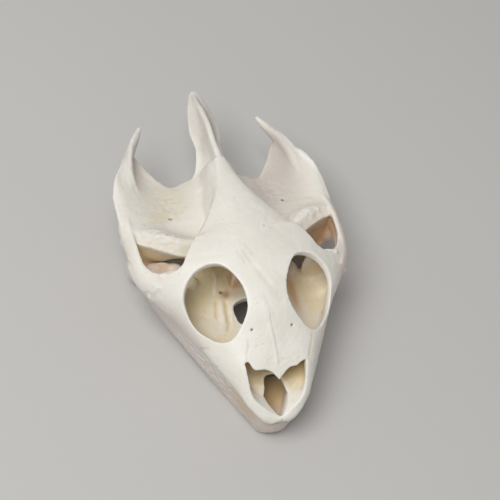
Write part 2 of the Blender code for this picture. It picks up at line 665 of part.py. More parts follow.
def main():
    """Build the skull."""
    clear_scene()
    parts = new_collection("turtle_skull")
    cutters = new_collection("cutters")
    root = bpy.data.objects.new("turtle_skull", None)
    parts.objects.link(root)
    cranium = make_cranium(parts, cutters)
    jaw = make_lower_jaw(parts, cutters)
    finish_node(cranium, bone_material("cranium_bone", BONE_COLOUR))
    finish_node(jaw, bone_material("jaw_bone", JAW_COLOUR))
    for obj in (cranium, jaw):
        obj.parent = root


main()
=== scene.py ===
"""Looks of the softshell turtle skull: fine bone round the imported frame.

The bone forms repeat the solids' points, (x, s, z) in millimetres: x to the skull's left, s back from
the snout tip and z up from the floor. Both skins are made finer, sculpted and painted with named marks.
"""
import itertools
from collections import namedtuple

import bmesh
import bpy
import numpy as np
from mathutils import Matrix, Vector
from mathutils.bvhtree import BVHTree


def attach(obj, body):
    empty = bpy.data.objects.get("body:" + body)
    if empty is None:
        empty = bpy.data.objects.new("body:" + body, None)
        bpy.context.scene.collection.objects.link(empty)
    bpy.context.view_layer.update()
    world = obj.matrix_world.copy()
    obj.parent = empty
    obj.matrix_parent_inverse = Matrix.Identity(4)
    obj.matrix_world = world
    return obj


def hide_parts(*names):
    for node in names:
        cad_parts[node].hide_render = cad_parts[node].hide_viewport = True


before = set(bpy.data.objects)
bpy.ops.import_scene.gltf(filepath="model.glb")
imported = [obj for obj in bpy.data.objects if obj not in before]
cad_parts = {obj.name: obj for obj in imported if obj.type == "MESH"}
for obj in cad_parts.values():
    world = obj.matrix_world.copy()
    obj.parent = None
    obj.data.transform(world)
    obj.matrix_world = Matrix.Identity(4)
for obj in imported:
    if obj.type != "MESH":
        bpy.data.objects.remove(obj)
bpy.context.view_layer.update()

MM = 0.001
# Metres within which a point counts as lying on the flats
FLAT_TOLERANCE = 1e-6
# In millimetres: length, thickness of the walls and the palate, voxels, and gap at the jaw joints
SKULL_LENGTH = 75.0
WALL = 1.35
PALATE_THICK = 0.9
VOXEL = 0.2
JOINT_GAP = 0.35
RING_POINTS = 120
TUBE_POINTS = 48
LUMP_SEGMENTS = 72
LUMP_ROWS = 44
# Points between two rows of a table, and between two points of a ring
STEPS = 10
RING_STEPS = 12

Face = namedtuple("Face", "s roof shoulder cheek edge palate")
Ramus = namedtuple("Ramus", "s outer thick low top")

# Cross-sections of the snout and cheeks: heights on the midline, (x, z) pairs beside it
FACE = tuple(Face(*row) for row in (
    (0.15, 8.4, (0.9, 8.3), (1.7, 7.7), (1.5, 6.7), 7.2),
    (1.0, 9.2, (2.1, 9.2), (3.6, 8.6), (3.1, 7.2), 8.0),
    (3.5, 11.7, (4.4, 11.5), (6.0, 10.0), (4.9, 8.2), 8.9),
    (6.0, 14.2, (5.4, 13.8), (7.3, 11.2), (5.9, 8.5), 9.3),
    (8.2, 15.8, (6.2, 15.4), (8.5, 11.6), (6.8, 8.6), 9.4),
    (11.4, 17.9, (7.3, 16.6), (10.2, 12.2), (8.2, 8.7), 9.5),
    (13.8, 19.4, (8.1, 17.4), (11.5, 12.8), (9.5, 8.7), 9.5),
    (17.3, 21.5, (7.8, 19.7), (13.1, 14.6), (11.8, 8.7), 9.5),
    (21.3, 22.9, (8.6, 21.0), (15.2, 15.3), (14.1, 8.9), 9.3),
    (24.7, 23.5, (9.6, 21.8), (17.6, 15.6), (16.3, 9.3), 9.2),
    (28.4, 23.8, (10.8, 21.8), (20.1, 15.5), (19.2, 10.5), 9.2),
    (31.6, 23.7, (11.6, 21.4), (21.3, 15.3), (20.9, 11.4), 9.2),
    (35.0, 23.3, (11.8, 21.0), (21.9, 15.0), (21.4, 11.9), 9.2),
))
FACE_CAVITY_START = 3.5
FACE_FLOOR_END = (26.0, 29.5)
CHEEK_FOOT = 2.0

# Rim of the left eye socket, and the cut along its axis
ORBIT_RIM = (
    (4.3, 18.2, 21.6), (4.7, 22.6, 22.6), (7.4, 27.0, 22.2), (11.6, 27.2, 20.6),
    (14.4, 23.8, 17.6), (13.6, 18.8, 15.6), (10.6, 14.9, 15.8), (8.1, 13.6, 17.2), (6.0, 15.2, 19.6),
)
ORBIT_AXIS = Vector((0.46, -0.08, 0.88))
ORBIT_DEPTH = 4.5
ORBIT_REACH = 8.0

NARIS_NOTCH = Vector((0.0, 0.7, 8.6))
NARIS_TOP = Vector((0.0, 6.6, 14.7))
# Ragged edge of the nose opening, once round from the midline notch: (x, distance up its plane)
NARIS_EDGE = (
    (0.0, 0.2), (2.2, 1.6), (3.6, 2.5), (4.6, 3.9), (5.2, 6.0), (5.5, 8.7), (5.6, 10.2), (5.1, 10.0),
    (4.4, 9.8), (3.9, 9.4), (3.3, 9.3), (2.6, 9.35), (2.1, 9.1), (1.3, 8.5), (0.6, 7.8), (0.25, 7.5),
    (0.0, 7.1), (-0.2, 7.6), (-0.6, 8.1), (-1.1, 8.7), (-1.9, 9.2), (-2.6, 9.45), (-3.3, 9.5),
    (-4.1, 9.45), (-4.7, 9.65), (-5.1, 10.4), (-5.3, 10.9), (-5.6, 11.2), (-6.0, 11.0), (-5.95, 10.1),
    (-5.7, 8.0), (-5.3, 5.2), (-4.5, 3.5), (-2.6, 1.8),
)
NARIS_DEPTH = 3.4
NARIS_LEAN = 0.24
NARIS_REACH = 6.0

# Openings cut straight up, in plan (x, s), and the heights that each cut spans
PALATE_FORAMEN = ((0.0, 1.0), (1.3, 2.6), (2.1, 4.6), (1.9, 6.8), (1.3, 8.8), (0.0, 9.3))
PALATE_SPAN = (5.0, 11.0)
CHOANA = ((0.0, 20.4), (2.4, 20.6), (3.4, 22.8), (3.0, 25.2), (0.0, 26.2))
CHOANA_SPAN = (6.0, 12.0)
TEMPORAL_OUTLINE = (
    (16.3, 29.0), (13.8, 29.5), (12.6, 31.4), (10.8, 34.0), (8.0, 37.6), (6.0, 40.2), (6.0, 45.0),
    (20.2, 45.0), (20.4, 38.0), (20.0, 34.0), (18.5, 30.9),
)
TEMPORAL_SPAN = (0.0, 30.0)

# Parietal plate: station, half width, height on the midline, height at the overhanging edge
PARIETAL = (
    (28.8, 10.8, 23.5, 21.4), (31.0, 12.3, 23.7, 20.9), (33.8, 10.9, 23.5, 20.9), (36.4, 8.8, 23.2, 21.1),
    (40.2, 6.1, 22.7, 21.3), (43.7, 4.0, 22.1, 21.2), (48.5, 2.4, 21.1, 20.4), (54.0, 1.5, 19.9, 19.2),
)

# Braincase: station, top height, half widths at the top, middle and foot, foot height
BRAINCASE = (
    (28.6, 22.4, 3.4, 3.0, 2.8, 9.4), (33.0, 22.4, 3.9, 3.2, 3.4, 8.4), (38.0, 22.0, 4.6, 4.6, 5.0, 7.8),
    (44.0, 21.2, 3.5, 5.6, 6.6, 7.6), (49.0, 20.2, 2.5, 4.8, 6.4, 7.7), (53.5, 18.8, 2.2, 3.8, 5.2, 8.0),
    (55.2, 17.4, 1.9, 3.2, 4.0, 8.6),
)
# A lump has a centre and radii, and a tube a path and its (sideways, upright) radii
NECK_CONDYLE = ((0.0, 56.4, 9.6), (1.9, 2.0, 1.5))
BRAIN_TUNNEL = (
    ((0.0, 24.0, 18.6), (0.0, 32.0, 17.4), (0.0, 42.0, 15.0), (0.0, 50.0, 12.8), (0.0, 60.0, 12.2)),
    ((2.2, 2.4), (2.4, 3.0), (2.5, 3.0), (2.3, 2.2), (2.3, 2.0)),
)

# Ear wing from the braincase out to the squamosal: each row is one x station and nine (s, z) points,
# up the front, over the knob and the fossa floor to the rear rim, then back underneath
EAR_WING = (
    (3.0, ((36.5, 8.4), (35.6, 15.0), (37.4, 16.6), (40.6, 16.4), (47.0, 16.0),
           (54.6, 13.6), (53.8, 10.4), (47.0, 7.8), (41.0, 7.6))),
    (6.5, ((37.0, 8.4), (34.4, 15.4), (36.4, 17.0), (39.6, 15.6), (47.0, 14.4),
           (53.9, 12.5), (53.0, 10.2), (47.0, 7.6), (42.0, 7.4))),
    (9.5, ((37.8, 8.2), (34.3, 15.6), (36.8, 17.4), (40.2, 15.0), (47.5, 13.2),
           (53.6, 11.8), (52.8, 9.8), (47.0, 7.6), (42.5, 7.4))),
    (12.5, ((38.4, 8.0), (34.7, 16.0), (37.9, 17.7), (41.9, 14.6), (49.0, 12.5),
            (57.6, 11.3), (56.4, 9.7), (48.0, 8.0), (43.0, 7.4))),
    (15.3, ((37.6, 7.8), (36.2, 16.3), (39.6, 17.5), (43.4, 14.6), (50.0, 12.8),
            (62.0, 12.2), (60.6, 10.6), (50.0, 8.6), (43.0, 7.4))),
    (18.0, ((38.0, 8.8), (37.9, 16.0), (40.8, 16.6), (44.2, 14.7), (51.0, 13.8),
            (59.4, 14.2), (58.0, 11.8), (51.0, 9.6), (43.0, 8.4))),
    (20.4, ((39.5, 8.4), (39.3, 15.6), (41.8, 15.8), (45.0, 15.0), (51.0, 14.8),
            (56.2, 15.0), (54.8, 12.8), (50.0, 10.8), (43.4, 8.4))),
    (22.1, ((42.6, 10.8), (43.0, 14.3), (45.0, 14.6), (47.0, 14.6), (49.0, 14.6),
            (51.0, 14.4), (50.6, 13.6), (48.0, 13.0), (44.8, 11.2))),
)

# Horn, ear capsule and ear opening of each side
HORN = (
    ((19.6, 49.5, 12.2), (18.5, 54.6, 12.9), (17.2, 58.9, 13.2), (15.7, 62.8, 13.1), (14.2, 65.8, 13.1),
     (12.7, 68.3, 13.5)),
    ((1.6, 1.0), (2.1, 1.6), (1.6, 1.75), (1.15, 1.5), (0.9, 1.05), (0.45, 0.5)),
)
EAR_CAPSULE = ((17.2, 47.0, 10.2), (4.6, 6.4, 3.3))
EAR_OPENING = ((23.6, 47.0, 10.9), (5.6, 4.4, 3.0))

# Cross-section of the cheek arch, as (x, z) from its middle
ARCH_SECTION = (
    (-1.1, 2.4), (-0.4, 2.7), (0.6, 1.6), (1.0, 0.2), (0.6, -1.7), (0.0, -2.3), (-0.7, -2.0), (-0.6, 0.2),
)
# Cheek arch: station, x and z of its middle, height factor
ARCH = (
    (27.0, 18.8, 14.0, 1.15), (31.0, 20.6, 14.0, 1.0), (35.0, 21.2, 14.1, 0.95), (39.0, 21.3, 14.0, 0.95),
    (43.0, 21.3, 13.3, 0.9), (46.5, 20.9, 13.0, 0.6), (50.0, 20.0, 12.9, 0.25),
)

# Supraoccipital crest: station, half width and height of the side flange, height of the ridge
CREST = (
    (50.0, 5.2, 14.6, 20.6), (54.0, 4.9, 13.2, 19.8), (56.0, 3.9, 13.3, 19.5), (58.5, 3.1, 13.9, 19.2),
    (61.0, 2.8, 14.5, 19.2), (64.0, 3.3, 15.2, 19.1), (67.5, 2.9, 15.6, 18.2), (71.0, 2.1, 15.9, 17.2),
    (73.6, 1.3, 15.7, 16.4), (74.7, 0.7, 15.6, 16.0),
)
RIDGE_HALF = 0.55
CREST_TIP = ((0.0, SKULL_LENGTH - 0.8, 15.75), (0.8, 0.8, 0.6))

# Pterygoid and palatine plate: station, half width, height, half thickness
PTERYGOID = (
    (22.0, 10.0, 9.6, 0.7), (27.0, 12.4, 9.7, 0.75), (30.4, 12.2, 9.6, 0.8), (33.2, 9.4, 9.3, 0.9),
    (36.0, 8.0, 8.9, 1.0), (40.0, 7.4, 8.4, 1.0), (44.0, 8.8, 8.1, 1.0), (49.0, 7.4, 8.2, 1.0),
    (53.0, 4.6, 8.6, 1.0),
)
# Outer floor of the eye socket: x station, front and rear edge, height; then half its thickness
SOCKET_FLOOR = (
    (8.5, 23.0, 31.4, 9.7), (12.4, 23.0, 31.6, 9.9), (15.4, 24.0, 31.5, 10.9), (18.0, 25.5, 31.9, 12.6),
    (20.2, 27.0, 33.0, 14.2),
)
SOCKET_FLOOR_HALF = 0.55
FLANGE = ((10.4, 31.2, 10.5), (1.5, 1.9, 1.3))

# Wall between nose and eye socket, as an upright path and its (sideways, lengthwise) radii
NOSE_WALL = (
    ((5.6, 12.7, 9.0), (5.6, 12.6, 13.0), (5.4, 12.6, 17.0)),
    ((2.8, 0.8), (2.7, 0.6), (2.4, 0.7)),
)
# Outer part of the wall behind the eye socket, in the same way
SOCKET_WALL = (
    ((15.7, 29.6, 10.6), (15.3, 29.5, 14.0), (14.9, 29.2, 18.3)),
    ((4.2, 0.8), (3.9, 0.7), (3.2, 0.8)),
)

# Jaw joint and the pillar above it
CONDYLE = Vector((18.0, 41.2, 6.9))
CONDYLE_RADII = Vector((2.5, 2.0, 1.8))
QUADRATE = (
    ((17.6, 46.0, 11.0), (18.0, 43.4, 9.0), tuple(CONDYLE)),
    ((2.6, 2.6), (2.5, 2.2), (2.3, 1.7)),
)

# Cross-sections of the jaw: station, outer side, thickness, foot and top
RAMUS = tuple(Ramus(*row) for row in (
    (0.6, 1.2, 1.8, 2.2, 5.2), (1.5, 2.8, 2.7, 0.9, 6.2), (2.8, 4.0, 3.0, 0.2, 6.9),
    (6.4, 5.9, 3.2, -0.4, 8.0), (10.8, 8.1, 3.2, -0.1, 8.6), (16.6, 11.1, 3.1, 0.6, 8.6),
    (22.6, 13.9, 3.0, 0.9, 8.5), (28.0, 16.3, 3.0, 0.7, 8.5), (33.0, 17.9, 3.0, 0.1, 8.6),
    (37.0, 18.9, 3.6, -0.4, 6.9), (41.0, 19.5, 4.4, -0.4, 5.2), (44.4, 19.2, 2.8, 1.0, 4.2),
))
# Chin plate: station, half width, foot, top
SYMPHYSIS = (
    (0.8, 1.2, 2.4, 4.8), (1.6, 2.4, 1.1, 5.2), (3.0, 3.2, 0.1, 5.3), (6.4, 4.2, -0.4, 5.2),
    (8.6, 5.4, 0.4, 5.2), (10.6, 6.4, 1.6, 5.0), (11.6, 6.8, 2.4, 4.4),
)
# Coronoid: upright path and its (sideways, lengthwise) radii
CORONOID = (
    ((16.3, 33.4, 6.4), (16.1, 34.0, 9.2), (15.5, 34.4, 12.0)),
    ((1.4, 3.6), (1.8, 2.7), (2.2, 1.5)),
)
# Two more cusps on the right coronoid only, which its opening shows
RIGHT_CUSPS = (((-13.2, 34.2, 11.4), (1.7, 1.3, 1.1)), ((-17.0, 34.7, 11.0), (2.3, 1.6, 1.3)))
# The jaw's side of the joint, and the heel behind it
ARTICULAR = ((17.9, 40.6, 3.4), (2.6, 3.4, 3.2))
JAW_HEEL = ((17.8, 44.4, 2.9), (1.7, 2.4, 1.6))
# Feet of the walls inside the cheek openings, each on one side only
WALL_FEET = (
    ((-16.7, 38.0, 8.9), (3.0, 1.3, 1.9)), ((20.0, 39.0, 9.5), (2.3, 1.4, 2.2)),
    ((18.3, 38.2, 8.8), (1.7, 1.2, 1.4)),
)


def smooth_through(points, closed=False, steps=STEPS):
    """Points of a Catmull-Rom curve through the given rows."""
    points = np.asarray(points, float)
    count = len(points)
    if closed:
        padded = np.concatenate([points[-1:], points, points[:2]])
        spans = count
    else:
        padded = np.concatenate([2 * points[:1] - points[1:2], points, 2 * points[-1:] - points[-2:-1]])
        spans = count - 1
    t = np.linspace(0.0, 1.0, steps, endpoint=False)[:, None]
    curve = []
    for i in range(spans):
        a, b, c, d = padded[i:i + 4]
        curve.append(0.5 * (2 * b + (c - a) * t + (2 * a - 5 * b + 4 * c - d) * t ** 2
                            + (3 * b - a - 3 * c + d) * t ** 3))
    if not closed:
        curve.append(points[-1:])
    return np.concatenate(curve)


def even_ring(points, count=RING_POINTS):
    """A closed smooth ring through the points, resampled to evenly spaced points."""
    dense = smooth_through(points, closed=True, steps=RING_STEPS)
    dense = np.concatenate([dense, dense[:1]])
    length = np.concatenate([[0.0], np.cumsum(np.linalg.norm(np.diff(dense, axis=0), axis=1))])
    at = np.linspace(0.0, length[-1], count, endpoint=False)
    return np.stack([np.interp(at, length, dense[:, k]) for k in range(dense.shape[1])], axis=-1)


def place(points):
    """World positions, in metres, of rows (x, s, z) in millimetres."""
    points = np.asarray(points, float)
    return np.stack([points[:, 0], points[:, 1] - SKULL_LENGTH / 2, points[:, 2]], axis=-1) * MM


def mesh_object(name, bm):
    """A new object of the mesh under construction."""
    mesh = bpy.data.meshes.new(name)
    bm.to_mesh(mesh)
    bm.free()
    obj = bpy.data.objects.new(name, mesh)
    bpy.context.scene.collection.objects.link(obj)
    return obj


def loft(name, rings):
    """A closed solid through rings of equal point count, given in millimetres."""
    bm = bmesh.new()
    rows = [[bm.verts.new(p) for p in place(ring)] for ring in rings]
    count = len(rows[0])
    for lower, upper in zip(rows, rows[1:]):
        for i in range(count):
            j = (i + 1) % count
            bm.faces.new((lower[i], lower[j], upper[j], upper[i]))
    bm.faces.new(reversed(rows[0]))
    bm.faces.new(rows[-1])
    bmesh.ops.triangulate(bm, faces=[f for f in bm.faces if len(f.verts) > 4])
    if bm.calc_volume(signed=True) < 0:
        bmesh.ops.reverse_faces(bm, faces=bm.faces)
    return mesh_object(name, bm)


def mirrored(rings):
    """The same rings on the skull's other side."""
    return [np.asarray(ring) * (-1.0, 1.0, 1.0) for ring in rings]


def paired_loft(name, rings):
    """A loft on the left side and its mirror image on the right."""
    rings = [np.asarray(ring, float) for ring in rings]
    return [loft(name + "_left", rings), loft(name + "_right", mirrored(rings))]


def lump(name, centre, radii):
    """An ellipsoid."""
    bm = bmesh.new()
    bmesh.ops.create_uvsphere(bm, u_segments=LUMP_SEGMENTS, v_segments=LUMP_ROWS, radius=1.0)
    obj = mesh_object(name, bm)
    scale = Matrix.Diagonal((*(Vector(radii) * MM), 1.0))
    obj.data.transform(Matrix.Translation(place([centre])[0]) @ scale)
    return obj


def paired_lump(name, centre, radii):
    """Ellipsoids on both sides."""
    x, s, z = centre
    return [lump(name + "_left", (x, s, z), radii), lump(name + "_right", (-x, s, z), radii)]


def tube_rings(path, radii):
    """Elliptical rings along a path, with (sideways, upright) radii at each path point."""
    path = smooth_through(path)
    radii = smooth_through(radii)
    along = np.gradient(path, axis=0)
    along /= np.linalg.norm(along, axis=1)[:, None]
    angles = np.linspace(0.0, 2 * np.pi, TUBE_POINTS, endpoint=False)
    rings = []
    for centre, direction, (wide, high) in zip(path, along, radii):
        side = np.cross(direction, (0.0, 0.0, 1.0))
        side /= np.linalg.norm(side)
        up = np.cross(side, direction)
        rings.append(centre + wide * np.cos(angles)[:, None] * side + high * np.sin(angles)[:, None] * up)
    return rings


def upright_rings(path, radii):
    """Level elliptical rings up a path, with (sideways, lengthwise) radii at each path point."""
    angles = np.linspace(0.0, 2 * np.pi, TUBE_POINTS, endpoint=False)
    path = smooth_through(path)
    radii = smooth_through(radii)
    return [np.column_stack([x + wide * np.cos(angles), s + deep * np.sin(angles), np.full(len(angles), z)])
            for (x, s, z), (wide, deep) in zip(path, radii)]


def prism_rings(outline, span):
    """Two level rings, at both heights of the span, of a closed plan outline of (x, s) points."""
    ring = even_ring(outline)
    return [np.column_stack([ring, np.full(len(ring), z)]) for z in span]


def both_halves(half):
    """A closed outline from its left half, which starts and ends on the midline."""
    return list(half) + [(-x, *rest) for x, *rest in reversed(half[1:-1])]


def at_station(ring, s):
    """A ring of (x, z) points stood upright at one station."""
    return np.column_stack([ring[:, 0], np.full(len(ring), s), ring[:, 1]])


def section(half, s):
    """The upright ring at one station of an outline, given by its left half."""
    return at_station(even_ring(both_halves(half)), s)


def section_rings(table, outline):
    """Upright rings through a table of stations, where outline gives a row's left half."""
    return [section(outline(*row), s) for s, *row in smooth_through(table)]


def face_ring(f):
    """The outer ring of one face section."""
    lip = min(1.5, 0.4 * f.edge[0])
    inset = (f.edge[0] - lip, max(f.palate - 0.1, f.edge[1] - 0.6))
    return section([(0.0, f.roof), f.shoulder, f.cheek, f.edge, inset, (0.0, f.palate)], f.s)


def cavity_ring(f):
    """The ring inside one face section, a wall's thickness in."""
    floor = np.interp(f.s, FACE_FLOOR_END, (f.palate + PALATE_THICK, CHEEK_FOOT))
    shoulder = (f.shoulder[0] - 0.6 * WALL, f.shoulder[1] - WALL)
    cheek = (f.cheek[0] - 1.05 * WALL, f.cheek[1])
    foot = (f.edge[0] - WALL, floor + 0.6)
    return section([(0.0, f.roof - WALL), shoulder, cheek, foot, (0.0, floor)], f.s)


def face_stations(first):
    """Face sections interpolated between the named ones."""
    table = np.array([(f.s, f.roof, *f.shoulder, *f.cheek, *f.edge, f.palate) for f in FACE if f.s >= first])
    rows = smooth_through(table)
    return [Face(r[0], r[1], (r[2], r[3]), (r[4], r[5]), (r[6], r[7]), r[8]) for r in rows]


def naris_rings():
    """Rings of the nose opening, square to its sloping plane outside and level inside."""
    up = (NARIS_TOP - NARIS_NOTCH).normalized()
    out = Vector((0.0, -up.z, up.y))
    ring = even_ring(NARIS_EDGE)
    base = np.array([NARIS_NOTCH + Vector((x, 0.0, 0.0)) + up * t for x, t in ring])
    inner = base + [(0.0, NARIS_DEPTH, -NARIS_LEAN * t) for x, t in ring]
    return [inner, base, base + np.array(out) * NARIS_REACH]


def orbit_rings():
    """Rings of the left eye opening along its axis."""
    ring = even_ring(ORBIT_RIM)
    axis = np.array(ORBIT_AXIS.normalized())
    return [ring - axis * ORBIT_DEPTH, ring + axis * ORBIT_REACH]


def apply_modifiers(obj):
    """Replace the object's mesh by its evaluated one."""
    depsgraph = bpy.context.evaluated_depsgraph_get()
    mesh = bpy.data.meshes.new_from_object(obj.evaluated_get(depsgraph))
    obj.modifiers.clear()
    obj.data = mesh


def cut(obj, cutters):
    """Subtract the cutters from the object, and delete them."""
    for cutter in cutters:
        boolean = obj.modifiers.new("Cut " + cutter.name, "BOOLEAN")
        boolean.operation = "DIFFERENCE"
        boolean.solver = "MANIFOLD"
        boolean.object = cutter
    apply_modifiers(obj)
    for cutter in cutters:
        bpy.data.objects.remove(cutter)


def join(name, objects):
    """One object of all the meshes, which may still overlap."""
    bm = bmesh.new()
    for obj in objects:
        bm.from_mesh(obj.data)
        bpy.data.objects.remove(obj)
    return mesh_object(name, bm)


def fuse(obj, rounds):
    """Fuse overlapping forms into one skin and soften it."""
    remesh = obj.modifiers.new("Fuse", "REMESH")
    remesh.mode = "VOXEL"
    remesh.voxel_size = VOXEL * MM
    smooth = obj.modifiers.new("Soften", "SMOOTH")
    smooth.factor = 0.5
    smooth.iterations = rounds
    apply_modifiers(obj)


def keep_largest(obj):
    """Keep the mesh's largest closed surface."""
    bm = bmesh.new()
    bm.from_mesh(obj.data)
    left = set(bm.verts)
    islands = []
    while left:
        seed = left.pop()
        island = {seed}
        stack = [seed]
        while stack:
            for edge in stack.pop().link_edges:
                for vert in edge.verts:
                    if vert in left:
                        left.remove(vert)
                        island.add(vert)
                        stack.append(vert)
        islands.append(island)
    islands.sort(key=len)
    scraps = [vert for island in islands[:-1] for vert in island]
    bmesh.ops.delete(bm, geom=scraps, context="VERTS")
    bm.to_mesh(obj.data)
    bm.free()


def rest_flats(obj):
    """Cut the mesh off level at z = 0."""
    bm = bmesh.new()
    bm.from_mesh(obj.data)
    geometry = bm.verts[:] + bm.edges[:] + bm.faces[:]
    bmesh.ops.bisect_plane(bm, geom=geometry, dist=FLAT_TOLERANCE, plane_co=(0, 0, 0),
                           plane_no=(0, 0, -1), clear_outer=True)
    rim = [edge for edge in bm.edges if edge.is_boundary]
    bmesh.ops.contextual_create(bm, geom=rim)
    bmesh.ops.triangulate(bm, faces=bm.faces)
    bmesh.ops.recalc_face_normals(bm, faces=bm.faces)
    bm.to_mesh(obj.data)
    bm.free()


def make_face():
    """Hollow snout, eye sockets and cheeks."""
    face = loft("face", [face_ring(f) for f in face_stations(0.0)])
    inside = [cavity_ring(f) for f in face_stations(FACE_CAVITY_START)]
    behind = inside[-1] + (0.0, 2.0, 0.0)
    hollow = loft("face_hollow", inside + [behind])
    openings = [hollow, loft("naris", naris_rings())]
    openings += paired_loft("orbit", orbit_rings())
    openings += paired_loft("temporal", prism_rings(TEMPORAL_OUTLINE, TEMPORAL_SPAN))
    foramen = prism_rings(both_halves(PALATE_FORAMEN), PALATE_SPAN)
    openings.append(loft("palate_foramen", foramen))
    cut(face, openings)
    return face


def make_parietal():
    """The bell-shaped roof plate between the temporal fossae."""
    def outline(half, mid, edge):
        foot = min(mid - WALL - 0.2, edge - 1.0)
        return [(0.0, mid), (0.55 * half, mid - 0.28 * (mid - edge)), (half - 0.3, edge),
                (half - 0.1, edge - 0.7), (0.55 * half, edge - 1.0), (0.0, foot)]

    return [loft("parietal", section_rings(PARIETAL, outline))]


def make_braincase():
    """The closed box under the roof plate."""
    def outline(top, wide, middle, foot, low):
        return [(0.0, top), (wide, top - 0.6), (middle, 0.45 * top + 0.55 * low), (foot, low + 1.8),
                (foot - 1.2, low), (0.0, low)]

    condyle = lump("neck_condyle", *NECK_CONDYLE)
    return [loft("braincase", section_rings(BRAINCASE, outline)), condyle]


def crisp(points, corner):
    """The points with two more close to one corner, so that it stays crisp when smoothed."""
    points = np.asarray(points, float)
    before, at, after = points[corner - 1:corner + 2]
    extra = [at + 0.12 * (before - at), at, at + 0.25 * (after - at)]
    return np.concatenate([points[:corner], extra, points[corner + 1:]])


def make_ear_wings():
    """Ear region and squamosal wing of each side, with the horn behind it."""
    stations = [np.array([(x, s, z) for s, z in crisp(points, 1)]) for x, points in EAR_WING]
    between = smooth_through(np.array(stations).reshape(len(stations), -1))
    rings = [even_ring(row.reshape(-1, 3)) for row in between]
    wings = paired_loft("ear_wing", rings)
    horns = paired_loft("horn", tube_rings(*HORN))
    ears = paired_lump("ear_capsule", *EAR_CAPSULE)
    return wings + horns + ears


def make_quadrates():
    """Pillar and jaw joint of each side."""
    pillar = tube_rings(*QUADRATE)
    return paired_loft("quadrate", pillar) + paired_lump("condyle", CONDYLE, CONDYLE_RADII)


def make_arches():
    """Cheek arch of each side."""
    rings = [even_ring([(x + dx, s, z + dz * height) for dx, dz in ARCH_SECTION])
             for s, x, z, height in smooth_through(ARCH)]
    return paired_loft("arch", rings)


def make_crest():
    """Supraoccipital crest: a ridge standing on two side flanges."""
    def outline(half, flange, ridge):
        thin = min(RIDGE_HALF, 0.5 * half)
        return [(0.0, ridge), (thin, ridge - 0.3), (thin + 0.35, 0.5 * (ridge + flange)),
                (0.6 * half, flange + 0.75), (half, flange + 0.1), (0.7 * half, flange - 0.6),
                (0.0, flange - 0.9)]

    tip = lump("crest_tip", *CREST_TIP)
    return [loft("crest", section_rings(CREST, outline)), tip]


def make_palate():
    """Palatine and pterygoid plate, the floor of each eye socket and the walls before and behind it."""
    angles = np.linspace(0.0, 2 * np.pi, RING_POINTS, endpoint=False)
    wave = np.sign(np.cos(angles)) * np.abs(np.cos(angles)) ** 0.6
    swell = np.sign(np.sin(angles)) * np.abs(np.sin(angles)) ** 0.8
    rings = []
    for s, half, height, thick in smooth_through(PTERYGOID):
        rings.append(np.column_stack([half * wave, np.full(len(angles), s), height + thick * swell]))
    pieces = [loft("pterygoid", rings)]
    rings = []
    for x, front, rear, height in smooth_through(SOCKET_FLOOR):
        s = 0.5 * (front + rear) + 0.5 * (rear - front) * wave
        rings.append(np.column_stack([np.full(len(angles), x), s, height + SOCKET_FLOOR_HALF * swell]))
    pieces += paired_loft("socket_floor", rings)
    pieces += paired_lump("flange", *FLANGE)
    pieces += paired_loft("socket_wall", upright_rings(*SOCKET_WALL))
    return pieces + paired_loft("nose_wall", upright_rings(*NOSE_WALL))


def make_cranium():
    """All bones of the cranium fused into one."""
    pieces = [make_face()]
    for maker in (make_parietal, make_braincase, make_ear_wings, make_quadrates, make_arches, make_crest,
                  make_palate):
        pieces += maker()
    pieces += [lump("wall_foot", centre, radii) for centre, radii in WALL_FEET]
    cranium = join("cranium_skin", pieces)
    fuse(cranium, rounds=2)
    holes = [loft("brain_tunnel", tube_rings(*BRAIN_TUNNEL))]
    holes.append(loft("choana", prism_rings(both_halves(CHOANA), CHOANA_SPAN)))
    holes += paired_lump("ear_opening", *EAR_OPENING)
    cut(cranium, holes)
    fuse(cranium, rounds=3)
    keep_largest(cranium)
    return cranium


def ramus_ring(r):
    """The ring of one section of the left jaw ramus."""
    inner = r.outer - r.thick
    middle = 0.5 * (r.low + r.top)
    outline = [(r.outer - 1.6, r.low), (r.outer - 0.8, r.low + 1.2), (r.outer - 0.15, middle),
               (r.outer - 0.3, r.top - 1.0), (r.outer - 1.3, r.top), (inner + 0.3, r.top - 0.5),
               (inner, middle), (inner + 0.6, r.low + 0.2)]
    return at_station(even_ring(outline), r.s)


def make_lower_jaw():
    """Both jaw rami, joined at the chin."""
    stations = [Ramus(*row) for row in smooth_through([tuple(r) for r in RAMUS])]
    pieces = paired_loft("ramus", [ramus_ring(r) for r in stations])

    def chin(half, low, top):
        return [(0.0, top), (half, top), (half, low), (0.0, low)]

    pieces.append(loft("symphysis", section_rings(SYMPHYSIS, chin)))
    pieces += paired_loft("coronoid", upright_rings(*CORONOID))
    pieces += paired_lump("articular", *ARTICULAR)
    pieces += paired_lump("jaw_heel", *JAW_HEEL)
    pieces += [lump("jaw_cusp", centre, radii) for centre, radii in RIGHT_CUSPS]
    jaw = join("lower_jaw_skin", pieces)
    fuse(jaw, rounds=2)
    gap = Vector((JOINT_GAP, JOINT_GAP, JOINT_GAP))
    sockets = paired_lump("joint_socket", CONDYLE, CONDYLE_RADII + gap)
    cut(jaw, sockets)
    fuse(jaw, rounds=2)
    keep_largest(jaw)
    rest_flats(jaw)
    return jaw


